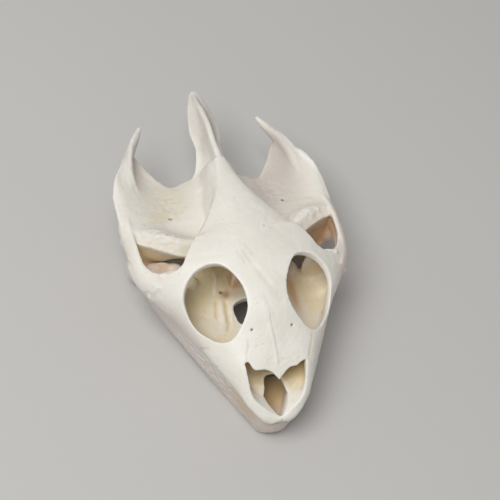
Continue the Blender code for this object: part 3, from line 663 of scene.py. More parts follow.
# Linear colours of the painted tones and how strongly each covers; tan, gold, grey, pink and brown are also
# laid as painted shade, and pale as painted highlight and painted light
TONE_COLOURS = {
    "tan": ((0.78, 0.66, 0.42), 0.95),
    "gold": ((0.70, 0.53, 0.25), 0.95),
    "pink": ((0.71, 0.61, 0.55), 0.9),
    "grey": ((0.47, 0.44, 0.40), 0.9),
    "orange": ((0.62, 0.38, 0.20), 0.95),
    "umber": ((0.36, 0.20, 0.10), 0.95),
    "pale": ((0.92, 0.91, 0.88), 0.8),
    "brown": ((0.12, 0.07, 0.04), 0.95),
}
PORES_PER_METRE = 1100.0
FIBRE_STRETCH = (1.0, 0.3, 1.0)
# Sockets of a colour mix node, by their place
MIX_FACTOR, MIX_FIRST, MIX_SECOND, MIX_RESULT = 0, 6, 7, 2
# Light and dark mottle of the cranium and of the jaw; the jaw's darker, pinker bone is partly its own tint
# and partly painted shade and painted pink reflection
CRANIUM_COLOURS = ((0.90, 0.88, 0.82), (0.76, 0.73, 0.65))
JAW_COLOURS = ((0.72, 0.66, 0.62), (0.62, 0.55, 0.51))

# Photo camera: place from the skull's middle, and roll
CAMERA_AZIMUTH = -29.0
CAMERA_ELEVATION = 53.7
CAMERA_ROLL = 16.9
CAMERA_DISTANCE = 255.7
CAMERA_ASIDE = (-3.12, 0.83)
CAMERA_ANGLE = 22.0
CAMERA_TARGET = (0.0, SKULL_LENGTH / 2, 12.0)

# Studio, in metres: key light, floor and sky
KEY_PLACE = (-0.24, -0.10, 0.52)
KEY_TARGET = (0.0, 0.0, 0.012)
KEY_SIZE = 0.35
KEY_POWER = 2.4
KEY_COLOUR = (1.0, 0.995, 0.985)
FLOOR_HALF = 1.5
FLOOR_COLOUR = (0.55, 0.54, 0.53, 1.0)
SKY_COLOUR = (1.0, 0.99, 0.97, 1.0)
SKY_STRENGTH = 0.34

# A line is drawn on the skin as seen from one side: points are (x, s) from above or below, (s, z) from
# the left or right and (x, z) from the front. A ridge has a negative depth, and wobble is in millimetres.
Line = namedtuple("Line", "side points width depth tone strength wobble")
Pit = namedtuple("Pit", "side place radius depth")
# A patch is an ellipsoid that fades outwards, where the skin is pressed in, filled, smoothed or roughened
Patch = namedtuple("Patch", "centre radii amount")
# Stains, painted shade and painted light are painted in the same way; the ones inside openings only where
# the bone hides the sky, and these are partly painted shade
StainAndShade = namedtuple("StainAndShade", "centre radii tone strength inside", defaults=(False,))


def both_sides(patches):
    """Each patch, followed by its mirror image."""
    twins = []
    for patch in patches:
        x, s, z = patch.centre
        twins += [patch, patch._replace(centre=(-x, s, z))]
    return tuple(twins)


# "floor" looks down from inside the eye sockets
VIEW_RAYS = {
    "top": (lambda a, b: (a, b, 60.0), (0.0, 0.0, -1.0)),
    "floor": (lambda a, b: (a, b, 13.5), (0.0, 0.0, -1.0)),
    "under": (lambda a, b: (a, b, -30.0), (0.0, 0.0, 1.0)),
    "left": (lambda a, b: (50.0, a, b), (-1.0, 0.0, 0.0)),
    "right": (lambda a, b: (-50.0, a, b), (1.0, 0.0, 0.0)),
    "front": (lambda a, b: (a, -30.0, b), (0.0, 1.0, 0.0)),
}

# The left temporal opening and its knob sit a little further back than the right ones
TEMPORAL_SHIFT = 0.95
TEMPORAL_CENTRE = (16.0, 37.0, 16.0)
TEMPORAL_RADII = (8.0, 7.0, 8.0)
TEMPORAL_FOOT = (9.5, 13.0)

# Seams and ridges of the roof and snout; pale along the ridges is painted highlight, and tan in the groove
# on the snout's left side painted shade
ROOF_LINES = tuple(Line(*row) for row in (
    ("top", ((-0.2, 18.3), (-0.3, 15.3), (-0.1, 13.4), (0.1, 11.6), (0.2, 9.0), (0.0, 6.9)),
         0.14, 0.07, "grey", 0.8, 0.05),
    ("top", ((-0.75, 15.6), (-0.5, 13.4), (-0.3, 11.6), (-0.15, 9.0), (-0.15, 7.0)),
         0.3, -0.07, "pale", 0.4, 0.04),
    ("top", ((-1.0, 20.2), (-0.6, 18.3), (0.1, 16.2), (0.7, 14.6)), 0.3, 0.04, "grey", 0.3, 0.2),
    ("top", ((-2.0, 26.0), (-0.4, 22.9), (0.9, 20.0), (2.7, 17.0)), 0.5, 0.05, "grey", 0.3, 0.25),
    ("top", ((-1.4, 26.3), (0.3, 23.1), (1.7, 20.2)), 0.5, -0.06, "pale", 0.5, 0.2),
    ("top", ((-3.0, 29.3), (-2.4, 27.4), (-1.7, 25.5)), 0.3, 0.05, "grey", 0.35, 0.15),
    ("top", ((-4.0, 29.6), (-3.4, 27.6), (-2.9, 25.6)), 0.3, 0.05, "grey", 0.3, 0.15),
    ("top", ((-2.2, 30.6), (-1.5, 28.8), (-0.8, 27.2)), 0.3, 0.04, "grey", 0.3, 0.15),
    ("top", ((-4.9, 13.6), (-5.1, 11.8), (-5.6, 10.2), (-5.8, 9.1)), 0.2, 0.07, "grey", 0.5, 0.1),
    ("top", ((8.1, 13.1), (7.8, 12.0), (6.9, 9.9), (6.3, 8.4)), 0.35, 0.14, "tan", 0.6, 0.08),
    ("top", ((6.7, 14.4), (7.6, 13.9), (8.3, 13.4)), 0.22, 0.08, "grey", 0.4, 0.1),
    ("front", ((0.1, 8.6), (0.1, 7.0)), 0.2, 0.14, "grey", 0.7, 0.05),
))
# Overhanging edges of the roof plate, with a thin shadow
EDGE_LINES = tuple(Line(*row) for row in (
    ("top", ((3.4, 47.3), (5.2, 44.0), (7.0, 40.9), (8.8, 37.4), (10.8, 34.4)),
         0.24, 0.1, "grey", 0.9, 0.03),
    ("top", ((-2.5, 50.0), (-4.0, 44.3), (-6.1, 40.0), (-7.7, 37.4), (-9.2, 35.6), (-10.8, 33.6)),
         0.24, 0.1, "grey", 0.9, 0.03),
))
# Grooves and ridges of the right eye socket's floor; the left one has them mirrored. Pale along the ridges
# is painted highlight
SOCKET_LINES = tuple(Line(*row) for row in (
    ("floor", ((-4.7, 33.7), (-5.2, 31.7), (-5.7, 29.8), (-6.5, 27.4)),
         0.4, -0.3, "pale", 0.5, 0.15),
    ("floor", ((-6.4, 27.0), (-6.8, 24.5), (-7.3, 22.0)), 0.3, 0.35, "gold", 0.9, 0.15),
    ("floor", ((-4.6, 26.9), (-4.9, 24.1), (-5.1, 21.8), (-5.9, 18.6)),
         0.38, 0.35, "gold", 0.95, 0.15),
    ("floor", ((-5.6, 27.0), (-5.9, 24.3), (-6.2, 21.8), (-6.9, 19.4)),
         0.5, -0.2, "pale", 0.4, 0.15),
    ("floor", ((-3.9, 25.2), (-4.1, 22.6), (-4.5, 20.0)), 0.3, -0.15, "tan", 0.3, 0.15),
))
# Ridges of the crest and the horns, and the rims of the notches between them; pale along the crest and horn
# ridges is painted highlight, grey in the grooves beside the crest painted shade
REAR_LINES = tuple(Line(*row) for row in (
    ("top", ((-0.2, 73.4), (0.0, 67.0), (0.0, 62.7), (-0.3, 55.8), (-1.4, 50.7), (-2.9, 44.9)),
         0.6, -0.06, "pale", 0.5, 0.15),
    ("top", ((-0.9, 68.5), (-1.2, 64.5), (-1.5, 61.0), (-1.9, 56.9)), 0.7, 0.12, "grey", 0.25, 0.3),
    ("top", ((1.5, 69.5), (1.7, 65.0), (1.6, 60.5)), 0.7, 0.15, "grey", 0.5, 0.3),
    ("top", ((-13.2, 67.7), (-15.4, 63.9), (-17.0, 58.0), (-16.9, 54.5), (-16.0, 50.5)),
         0.5, -0.3, "pale", 0.6, 0.15),
    ("top", ((13.1, 68.2), (15.8, 64.4), (18.1, 58.9), (19.2, 56.7), (20.9, 53.4), (21.8, 50.0)),
         0.5, -0.3, "pale", 0.9, 0.15),
    ("top", ((-5.4, 55.0), (-6.6, 54.4), (-8.8, 54.0), (-10.9, 55.0), (-12.7, 57.8), (-14.3, 61.0)),
         0.5, -0.1, "pink", 0.5, 0.15),
    ("top", ((5.4, 55.0), (6.6, 54.3), (8.4, 53.9), (10.4, 55.0), (12.2, 57.9), (13.6, 61.0)),
         0.5, -0.1, "pink", 0.5, 0.15),
    ("top", ((-17.9, 42.6), (-16.2, 43.6), (-13.9, 43.9), (-11.5, 43.6)),
         0.35, 0.07, "tan", 0.8, 0.3),
    ("top", ((12.4, 46.0), (16.1, 45.9), (19.4, 44.9)), 0.35, 0.06, "tan", 0.8, 0.3),
    ("top", ((-13.8, 49.6), (-12.0, 48.9), (-10.2, 49.4)), 0.3, 0.05, "grey", 0.3, 0.4),
    ("top", ((-13.4, 51.0), (-11.4, 50.3), (-9.4, 50.9)), 0.3, 0.05, "grey", 0.3, 0.4),
    ("top", ((-12.9, 47.9), (-11.3, 47.2), (-9.9, 47.8)), 0.3, 0.05, "grey", 0.3, 0.4),
    ("top", ((7.4, 52.2), (9.4, 51.2), (12.0, 51.8)), 0.35, 0.06, "pink", 0.5, 0.4),
    ("top", ((8.0, 50.2), (10.0, 49.4), (12.4, 50.2)), 0.35, 0.06, "grey", 0.3, 0.4),
    ("top", ((6.2, 51.0), (8.6, 46.8), (11.6, 42.0)), 0.3, 0.04, "grey", 0.25, 0.4),
))
# Seams on the cheeks and underneath, as this kind of skull has them
SIDE_SEAMS = (
    ((14.2, 14.6), (15.6, 11.8), (17.0, 9.4)), ((26.8, 15.8), (28.4, 13.6), (28.8, 11.2)),
    ((33.5, 15.6), (37.0, 13.8), (41.5, 12.4)), ((52.0, 13.2), (55.5, 13.4), (59.5, 13.6)),
)
UNDER_SEAMS = (
    ((0.0, 27.0), (0.1, 34.0), (0.0, 41.5)), ((0.0, 41.5), (2.6, 45.5), (4.6, 49.5)),
    ((0.0, 41.5), (-2.6, 45.5), (-4.6, 49.5)), ((5.0, 29.0), (7.4, 34.0), (8.0, 40.0)),
    ((-5.0, 29.0), (-7.4, 34.0), (-8.0, 40.0)), ((7.5, 49.0), (11.0, 50.5), (14.0, 53.0)),
    ((-7.5, 49.0), (-11.0, 50.5), (-14.0, 53.0)), ((0.1, 10.0), (0.0, 15.0), (0.1, 20.0)),
)
SIDE_LINES = tuple(Line(side, points, 0.22, 0.09, "grey", 0.5, 0.25)
                   for side, seams in (("left", SIDE_SEAMS), ("right", SIDE_SEAMS), ("under", UNDER_SEAMS))
                   for points in seams)
# Growth grooves along the outside of the lower jaw: height and depth of each, and stations of their ends
JAW_GROOVES = ((1.9, 0.10), (2.8, 0.16), (3.7, 0.12), (4.5, 0.2), (5.3, 0.12), (6.1, 0.2))
JAW_GROOVE_SPAN = (3.0, 29.0)
JAW_GROOVE_POINTS = 6
JAW_SEAM = Line("front", ((0.0, 1.0), (0.0, 3.0), (0.1, 5.0)), 0.2, 0.04, "grey", 0.2, 0.1)

# Nerve and vessel openings
PITS = tuple(Pit(*row) for row in (
    ("top", (-4.0, 14.1), 0.24, 0.45), ("top", (3.9, 14.0), 0.24, 0.45),
    ("top", (3.2, 34.1), 0.16, 0.3), ("top", (-11.6, 44.8), 0.36, 0.7),
    ("top", (12.6, 46.6), 0.34, 0.6), ("floor", (-4.9, 28.3), 0.34, 0.6),
    ("floor", (4.9, 28.3), 0.34, 0.6), ("top", (-13.4, 22.6), 0.18, 0.3),
    ("top", (13.2, 20.0), 0.2, 0.3), ("under", (3.9, 44.0), 0.4, 0.9),
    ("under", (-3.9, 44.0), 0.4, 0.9), ("left", (46.4, 11.2), 0.6, 1.0),
    ("right", (46.4, 11.2), 0.6, 1.0), ("left", (11.0, 11.6), 0.22, 0.4),
    ("right", (11.4, 11.8), 0.22, 0.4),
))
JAW_ROUGH = both_sides((Patch((-9.5, 13.0, 4.6), (5.0, 10.0, 2.6), 0.11),))
JAW_PITS = (
    Pit("left", (9.0, 3.6), 0.25, 0.5), Pit("right", (9.4, 3.4), 0.25, 0.5),
    Pit("left", (35.0, 5.4), 0.3, 0.5), Pit("right", (35.4, 5.2), 0.3, 0.5),
)
# Places pressed in
HOLLOWS = tuple(Patch(*row) for row in (
    ((-14.8, 59.0, 13.6), (1.7, 4.0, 2.2), 0.5), ((-13.6, 54.8, 12.2), (2.6, 2.6, 2.5), 0.35),
    ((14.6, 60.0, 13.6), (1.6, 4.4, 2.2), 0.5), ((15.0, 55.0, 13.0), (2.8, 3.0, 2.5), 0.35),
    ((-19.8, 56.8, 14.4), (1.2, 2.4, 2.0), 0.3), ((0.9, 71.0, 17.0), (0.9, 2.2, 1.2), 0.3),
    ((2.9, 12.2, 17.8), (1.6, 3.0, 2.0), 0.12), ((-12.0, 36.4, 11.0), (1.6, 1.6, 2.4), 1.2),
))
# Places whose creases are filled: foot of the horns, socket walls, and roof at the brow
CREASES = (
    Patch((-17.6, 54.5, 14.0), (6.0, 7.5, 4.0), 1.6), Patch((17.8, 54.5, 14.0), (6.0, 7.5, 4.0), 1.6),
) + both_sides((
    Patch((14.0, 28.8, 12.0), (4.5, 2.6, 3.0), 1.6), Patch((9.5, 30.0, 22.0), (5.0, 3.5, 2.5), 1.6),
))
CREASE_PASSES = 3
# Places smoothed: front of the cheek openings, inner ends of the socket walls, roof behind the brow,
# foot of the braincase, lower rear corners of the cheeks, and the chin
SOFT_RIMS = both_sides((
    Patch((19.0, 30.4, 16.4), (3.0, 1.8, 1.8), 1.2), Patch((10.8, 30.4, 11.6), (2.6, 2.0, 2.4), 1.3),
    Patch((6.0, 35.4, 22.6), (4.5, 2.0, 1.5), 1.3), Patch((4.8, 49.7, 14.7), (2.0, 2.5, 1.6), 1.3),
    Patch((19.6, 28.4, 8.2), (3.0, 3.2, 2.4), 1.6), Patch((20.8, 32.0, 9.8), (2.4, 2.4, 2.0), 1.6),
))
SOFT_CHIN = Patch((0.0, 2.0, 2.0), (5.0, 4.0, 4.0), 1.4)
# Rough, porous places
ROUGH_SPOTS = tuple(Patch(*row) for row in (
    ((-14.5, 38.6, 17.0), (5.0, 2.6, 2.2), 0.17), ((15.2, 40.2, 17.0), (4.8, 3.0, 2.2), 0.17),
    ((-11.5, 48.0, 13.2), (5.0, 5.0, 3.0), 0.07), ((11.5, 49.0, 13.2), (5.5, 6.0, 3.0), 0.07),
    ((0.0, 8.8, 15.4), (6.5, 1.2, 1.6), 0.08), ((-17.5, 27.0, 13.0), (3.0, 4.0, 3.0), 0.06),
))
STAINS_AND_SHADE = tuple(StainAndShade(*row) for row in (
    # Tan and gold inside the eye sockets, where the bone hides the sky: partly the bone's own stain, partly
    # painted shade
    ((-9.0, 23.0, 10.5), (7.5, 10.0, 4.5), "tan", 1.0, True),
    ((-9.0, 24.0, 10.0), (4.5, 7.0, 3.0), "gold", 0.3, True),
    ((9.0, 23.0, 10.5), (7.5, 10.0, 4.5), "tan", 0.9, True),
    ((-16.4, 37.2, 10.8), (5.5, 2.4, 4.4), "gold", 1.0),
    ((-15.8, 37.2, 10.2), (5.0, 2.2, 3.8), "orange", 0.5),
    ((16.6, 38.4, 11.0), (6.0, 3.0, 4.4), "orange", 1.0),
    ((17.0, 38.6, 11.0), (5.0, 2.8, 4.2), "umber", 0.55),
    ((-2.4, 29.2, 12.6), (1.5, 2.0, 2.4), "orange", 0.9, True),
    ((-1.8, 27.0, 10.5), (1.6, 1.6, 1.2), "grey", 0.5, True),
    ((-4.3, 27.5, 10.6), (0.9, 0.9, 1.0), "umber", 0.9),
    ((4.3, 27.5, 10.6), (0.9, 0.9, 1.0), "orange", 0.7),
    ((10.3, 30.6, 11.6), (1.7, 2.2, 1.9), "orange", 1.0),
    # Pale over the orange flange lump at the back of the left eye socket: painted light on a place that lies
    # in shade
    ((10.0, 30.6, 11.8), (1.6, 1.8, 1.8), "pale", 0.55),
    ((9.3, 26.6, 10.2), (0.8, 4.5, 1.0), "orange", 0.8),
    # Gold and tan inside the nose opening, where the bone hides the sky: partly stain, partly painted shade
    ((0.0, 9.0, 12.6), (7.0, 3.8, 3.6), "gold", 0.75, True),
    ((0.0, 7.5, 12.0), (6.5, 4.5, 4.0), "tan", 0.9, True),
    ((-13.2, 45.6, 13.4), (2.8, 1.3, 2.0), "tan", 0.6),
    ((-10.5, 50.5, 12.5), (4.5, 4.5, 3.0), "tan", 0.35),
    # Rows from here to the grey on the left horn are painted shade: pink and grey in the horns' hollows, on
    # the left fossa, left cheek and snout side, and grey on the crest, both fossae and both horns
    ((-14.8, 58.6, 13.2), (1.8, 4.4, 2.2), "pink", 0.8),
    ((14.8, 59.0, 12.6), (2.6, 6.0, 2.4), "pink", 0.9),
    ((15.6, 56.6, 12.6), (1.4, 3.6, 2.4), "grey", 0.35),
    ((11.5, 50.5, 12.5), (6.5, 6.5, 3.5), "pink", 0.7),
    ((8.5, 49.5, 14.0), (3.0, 7.0, 3.0), "grey", 0.2),
    ((21.0, 28.0, 13.0), (4.0, 8.0, 5.0), "pink", 1.0),
    ((13.5, 15.0, 11.5), (4.5, 6.0, 4.0), "pink", 0.45),
    ((1.2, 70.0, 17.0), (1.8, 4.0, 1.6), "grey", 0.5),
    ((1.9, 64.0, 16.6), (1.2, 5.0, 2.4), "grey", 0.4),
    ((-11.5, 50.0, 12.5), (7.0, 8.0, 3.5), "grey", 0.36),
    ((12.0, 50.5, 12.5), (7.0, 8.0, 3.5), "grey", 0.36),
    ((0.0, 66.0, 17.0), (5.0, 11.0, 5.0), "grey", 0.5),
    ((-15.5, 62.0, 14.0), (4.0, 8.0, 4.0), "grey", 0.52),
    ((15.5, 61.0, 13.5), (4.0, 8.0, 4.0), "grey", 0.42),
    ((-17.0, 24.0, 12.5), (7.0, 10.0, 6.0), "grey", 0.36),
    # Grey on the right wall inside the nose opening, where the bone hides the sky: painted shade
    ((-3.6, 8.0, 12.0), (3.5, 4.5, 4.0), "grey", 0.3, True),
    ((-14.8, 38.6, 17.0), (5.0, 2.6, 2.2), "grey", 0.36),
    ((-15.0, 38.8, 17.0), (5.0, 2.2, 2.2), "pale", 0.3),
    ((15.4, 40.2, 17.0), (5.0, 2.4, 2.2), "pale", 0.5),
))
JAW_STAINS_AND_SHADE = tuple(StainAndShade(*row) for row in (
    # Gold and umber on the chin plate's top, under the palate: partly its own colour, partly painted shade
    ((0.0, 7.8, 5.2), (6.0, 4.6, 1.6), "gold", 0.9),
    ((0.0, 7.8, 5.2), (6.0, 4.6, 1.6), "umber", 0.5),
    ((-15.4, 34.4, 11.5), (3.6, 2.4, 2.2), "orange", 0.45),
    ((15.4, 34.4, 11.5), (3.6, 2.4, 2.2), "orange", 0.6),
    ((-16.5, 38.5, 6.5), (4.0, 3.0, 2.5), "orange", 0.6),
    ((16.5, 38.5, 6.5), (4.0, 3.0, 2.5), "orange", 0.6),
    ((0.0, 0.5, 3.0), (4.5, 3.0, 3.0), "pink", 0.5),
))
# Fibres that fan out over the roof: their centre, swings in each radian of turn, and height
ROOF_CENTRE = (-0.5, 27.0)
FIBRES = 8.0
FIBRE_HEIGHT = 0.028
FIBRE_SEED = 21
# Unevenness of the whole skin: millimetres for each swing
WEATHER_SWINGS = (5.0, 1.6, 0.7)
WEATHER_SEED = 11
# Porous grain: swings for each millimetre, and height
GRAIN = (((0.9, 1.3, 1.1), 1.0), ((1.7, 2.2, 1.9), 0.8))
GRAIN_SEED = 31

# Drawn lines: points for each span, reach in widths, share that fades at each end, swings of the sway
LINE_STEPS = 40
LINE_REACH = 4.0
LINE_FADE = 0.22
SWAY_SCALE = 1.3
SWAY_SEED = 3
LINE_SEED = 40
PIT_REACH = 5.0

# Rays that feel how far the bone hides the sky, for the painted shade in hollows: directions, rays for each
# point, reach and lift
SKY_DIRECTIONS = 64
SKY_RAYS = 5
SKY_REACH = 16.0
SKY_LIFT = 0.15
SKY_SPREAD = 0.97
SKY_ROUNDS = 10
RELIEF_ROUNDS = 12


# Factors that scramble a noise cell's place
SCRAMBLE = np.array((73856093, 19349663, 83492791))
# Points whose distances are taken at one time
BLOCK_POINTS = 4000
# Shares of hidden sky at which paint inside an opening, partly stain and partly painted shade, begins and is
# full
INSIDE = (0.08, 0.28)


def value_noise(points, seed):
    """Smooth noise from -1 to 1, with about one swing for each unit of length."""
    cell = np.floor(points).astype(np.int64)
    part = points - cell
    part = part * part * (3.0 - 2.0 * part)
    total = np.zeros(len(points))
    for corner in itertools.product((0, 1), repeat=3):
        key = (cell + corner) @ SCRAMBLE + seed * 7919
        key = (key ^ (key >> 13)) * 1274126177
        value = ((key ^ (key >> 16)) & 0xFFFF) / 32767.5 - 1.0
        total += value * np.prod(np.where(corner, part, 1.0 - part), axis=1)
    return total


def ramp(values, low, high):
    """0 below low, 1 above high and smooth between."""
    t = np.clip((values - low) / (high - low), 0.0, 1.0)
    return t * t * (3.0 - 2.0 * t)


class Skin:
    """A bone skin in millimetres, with the sculpting and the paint that it gets."""

    def __init__(self, obj):
        self.obj = obj
        mesh = obj.data
        edges = np.empty(2 * len(mesh.edges), np.int32)
        mesh.edges.foreach_get("vertices", edges)
        self.edges = edges.reshape(-1, 2).T
        self.count = len(mesh.vertices)
        self.degree = np.bincount(edges, minlength=self.count)
        co = np.empty(3 * self.count, np.float32)
        mesh.vertices.foreach_get("co", co)
        self.points = co.reshape(-1, 3) / MM + (0.0, SKULL_LENGTH / 2, 0.0)
        self.normals = self.read_normals()
        self.tones = {name: np.zeros(self.count) for name in TONE_COLOURS}

    def read_normals(self):
        """The mesh's own point normals."""
        normals = np.empty(3 * self.count, np.float32)
        self.obj.data.vertices.foreach_get("normal", normals)
        return normals.reshape(-1, 3).astype(float)

    def write(self):
        """Store the points in the mesh and read the new normals."""
        self.obj.data.vertices.foreach_set("co", place(self.points).astype(np.float32).ravel())
        self.obj.data.update()
        self.normals = self.read_normals()

    def store_tones(self):
        """Store the paint as point attributes for the material."""
        for name, values in self.tones.items():
            layer = self.obj.data.attributes.new(name, "FLOAT", "POINT")
            layer.data.foreach_set("value", np.clip(values, 0.0, 1.0).astype(np.float32))

    def tree(self):
        """A search tree of the skin's faces, in millimetres."""
        faces = [tuple(face.vertices) for face in self.obj.data.polygons]
        return BVHTree.FromPolygons(self.points.tolist(), faces)

    def averaged(self, values, rounds):
        """Rows of values spread over the neighbouring points."""
        a, b = self.edges
        for _ in range(rounds):
            spread = [np.bincount(a, column[b], self.count) + np.bincount(b, column[a], self.count)
                      for column in values.T]
            values = np.stack(spread, axis=-1) / self.degree[:, None]
        return values

    def hollowness(self, rounds):
        """How far each point lies below its smoothed surroundings, in millimetres."""
        return np.sum((self.averaged(self.points, rounds) - self.points) * self.normals, axis=1)

    def press(self, depth):
        """Move the points inwards along their normals."""
        self.points -= self.normals * depth[:, None]
        self.write()

    def patch(self, centre, radii):
        """1 at the centre of an ellipsoid, fading smoothly to nothing outside it."""
        away = (self.points - np.array(centre)) / np.array(radii)
        return np.exp(-np.sum(away * away, axis=1))

    def weight(self, patch):
        """A patch's amount at each point."""
        return patch.amount * self.patch(patch.centre, patch.radii)

    def soften(self, patch, rounds):
        """Smooth the points inside a patch."""
        weight = np.minimum(1.0, self.weight(patch))
        self.points += weight[:, None] * (self.averaged(self.points, rounds) - self.points)
        self.write()

    def paint(self, tone, strength):
        """Lay a tone over the skin, up to full cover."""
        self.tones[tone] += (1.0 - self.tones[tone]) * np.clip(strength, 0.0, 1.0)


def drape(tree, side, points):
    """The points of the skin under a drawn line, as seen from one side."""
    start, direction = VIEW_RAYS[side]
    found = []
    for a, b in points:
        hit = tree.ray_cast(Vector(start(a, b)), Vector(direction))[0]
        if hit is not None:
            found.append(hit)
    return np.array(found).reshape(-1, 3)


def distance_to(points, route, reach):
    """Each point's distance to the nearest route point, or reach where it is further, and its index."""
    low, high = route.min(axis=0) - reach, route.max(axis=0) + reach
    near = np.flatnonzero(np.all((points > low) & (points < high), axis=1))
    distance = np.full(len(points), reach)
    index = np.zeros(len(points), int)
    for block in np.array_split(near, max(1, len(near) // BLOCK_POINTS)):
        gaps = np.sum((points[block, None, :] - route[None, :, :]) ** 2, axis=2)
        index[block] = np.argmin(gaps, axis=1)
        distance[block] = np.minimum(reach, np.sqrt(np.min(gaps, axis=1)))
    return distance, index


def draw_lines(skin, tree, lines):
    """Sculpt and tint grooves and ridges along drawn lines; grey in grooves and pale on ridges are partly
    the bone's own marks and partly painted shade and painted highlight.
    """
    depth = np.zeros(skin.count)
    for i, line in enumerate(lines):
        drawn = smooth_through(line.points, steps=LINE_STEPS)
        sway = SWAY_SCALE * np.column_stack([drawn, np.full(len(drawn), 7.0 * i)])
        moves = [value_noise(sway, SWAY_SEED + k) for k in range(2)]
        drawn = drawn + line.wobble * np.stack(moves, axis=-1)
        route = drape(tree, line.side, drawn)
        if not len(route):
            continue
        distance, index = distance_to(skin.points, route, LINE_REACH * line.width)
        along = index / max(1, len(route) - 1)
        fade = ramp(along, 0.0, LINE_FADE) * ramp(1.0 - along, 0.0, LINE_FADE)
        uneven = 0.7 + 0.3 * value_noise(skin.points / 1.3, LINE_SEED + i)
        groove = fade * uneven * np.exp(-(distance / line.width) ** 2)
        depth += line.depth * groove
        skin.paint(line.tone, line.strength * groove)
    skin.press(depth)


def sink_pits(skin, tree, pits):
    """Sink small round holes, their floor painted brown as the shade inside them."""
    depth = np.zeros(skin.count)
    for pit in pits:
        spot = drape(tree, pit.side, [pit.place])
        if not len(spot):
            continue
        distance, _ = distance_to(skin.points, spot, PIT_REACH * pit.radius)
        depth += pit.depth * np.exp(-(distance / pit.radius) ** 2.5)
        skin.paint("brown", 1.1 * np.exp(-(distance / (0.85 * pit.radius)) ** 3))
    skin.press(depth)


def sky_cover(skin, tree):
    """How much of each point's surroundings the bone itself hides, from 0 to 1, the mask for the painted
    shade.
    """
    steps = np.arange(SKY_DIRECTIONS) + 0.5
    height = 1.0 - 2.0 * steps / SKY_DIRECTIONS
    turn = np.pi * (1.0 + 5 ** 0.5) * steps
    flat = np.sqrt(1.0 - height ** 2)
    ball = np.column_stack([flat * np.cos(turn), flat * np.sin(turn), height])
    starts = skin.points + SKY_LIFT * skin.normals
    hidden = np.zeros(skin.count)
    for k in range(SKY_RAYS):
        rays = skin.normals + SKY_SPREAD * ball[(np.arange(skin.count) * 11 + 17 * k) % SKY_DIRECTIONS]
        rays /= np.linalg.norm(rays, axis=1)[:, None]
        for i, (start, ray) in enumerate(zip(starts.tolist(), rays.tolist())):
            reach = tree.ray_cast(start, ray, SKY_REACH)[3]
            if reach is not None:
                hidden[i] += 1.0 - reach / SKY_REACH
    return skin.averaged(hidden[:, None] / SKY_RAYS, SKY_ROUNDS)[:, 0]


def shift_temporal(skin):
    """Move the left temporal region back and the right one forward."""
    for side in (1.0, -1.0):
        x, s, z = TEMPORAL_CENTRE
        weight = skin.patch((side * x, s, z), TEMPORAL_RADII) * ramp(skin.points[:, 2], *TEMPORAL_FOOT)
        skin.points[:, 1] += side * TEMPORAL_SHIFT * weight
    skin.write()


def fill_creases(skin, patches, rounds, share):
    """Raise creases inside the patches towards their surroundings, which leaves ridges as they are."""
    weight = sum(np.minimum(1.0, skin.weight(patch)) for patch in patches)
    skin.press(-share * np.minimum(weight, 1.0) * np.maximum(skin.hollowness(rounds), 0.0))


def weather(skin, coarse, fine):
    """Give the whole skin a slight unevenness."""
    depth = np.zeros(skin.count)
    for i, height in enumerate((coarse, fine, 0.4 * fine)):
        depth += height * value_noise(skin.points / WEATHER_SWINGS[i], WEATHER_SEED + i)
    skin.press(depth)


def roughen(skin, patches):
    """Give porous places their small lumps and pits."""
    grain = np.zeros(skin.count)
    for i, (swings, height) in enumerate(GRAIN):
        grain += height * value_noise(skin.points * swings, GRAIN_SEED + i)
    share = sum(skin.weight(patch) for patch in patches)
    skin.press(grain * share)
    skin.paint("tan", 3.0 * share * ramp(grain, 0.2, 1.0))
    skin.paint("grey", 2.0 * share * ramp(grain, 0.5, 1.2))


def comb_roof(skin):
    """Faint fibres that fan out over the roof and the snout from one centre."""
    away = skin.points[:, :2] - np.array(ROOF_CENTRE)
    radius = np.linalg.norm(away, axis=1)
    around = FIBRES * away / np.maximum(radius, 0.1)[:, None]
    fibre = value_noise(np.column_stack([around, radius / 6.0]), FIBRE_SEED)
    fibre += 0.6 * value_noise(np.column_stack([2.2 * around, radius / 4.0]), FIBRE_SEED + 1)
    share = ramp(skin.normals[:, 2], 0.4, 0.75) * ramp(radius, 2.0, 7.0)
    share = share * ramp(skin.points[:, 2], 13.0, 16.0)
    share = share * (0.55 + 0.45 * value_noise(skin.points / 3.5, FIBRE_SEED + 2))
    skin.press(FIBRE_HEIGHT * fibre * share)
    skin.paint("grey", 0.07 * np.maximum(fibre, 0.0) * share)
    skin.paint("pale", 0.25 * np.maximum(-fibre, 0.0) * share)


def paint_stains_and_shade(skin, stains_and_shade, cover):
    """Paint the listed places of real staining, painted shade and painted light; those inside openings only
    where the bone hides the sky, as painted shade there.
    """
    for row in stains_and_shade:
        strength = row.strength * np.minimum(1.0, 1.3 * skin.patch(row.centre, row.radii))
        if row.inside:
            strength = strength * ramp(cover, *INSIDE)
        skin.paint(row.tone, strength)


def paint_relief_shade_and_highlight(skin):
    """Painted shade as grey in fine hollows, and pale on fine edges, partly rubbed wear and partly painted
    highlight.
    """
    relief = skin.hollowness(RELIEF_ROUNDS)
    skin.paint("pale", 2.5 * np.maximum(-relief, 0.0))
    skin.paint("grey", 1.5 * np.maximum(relief, 0.0))


def other_side(line):
    """The same drawn line on the skull's other side."""
    return line._replace(points=tuple((-x, s) for x, s in line.points))


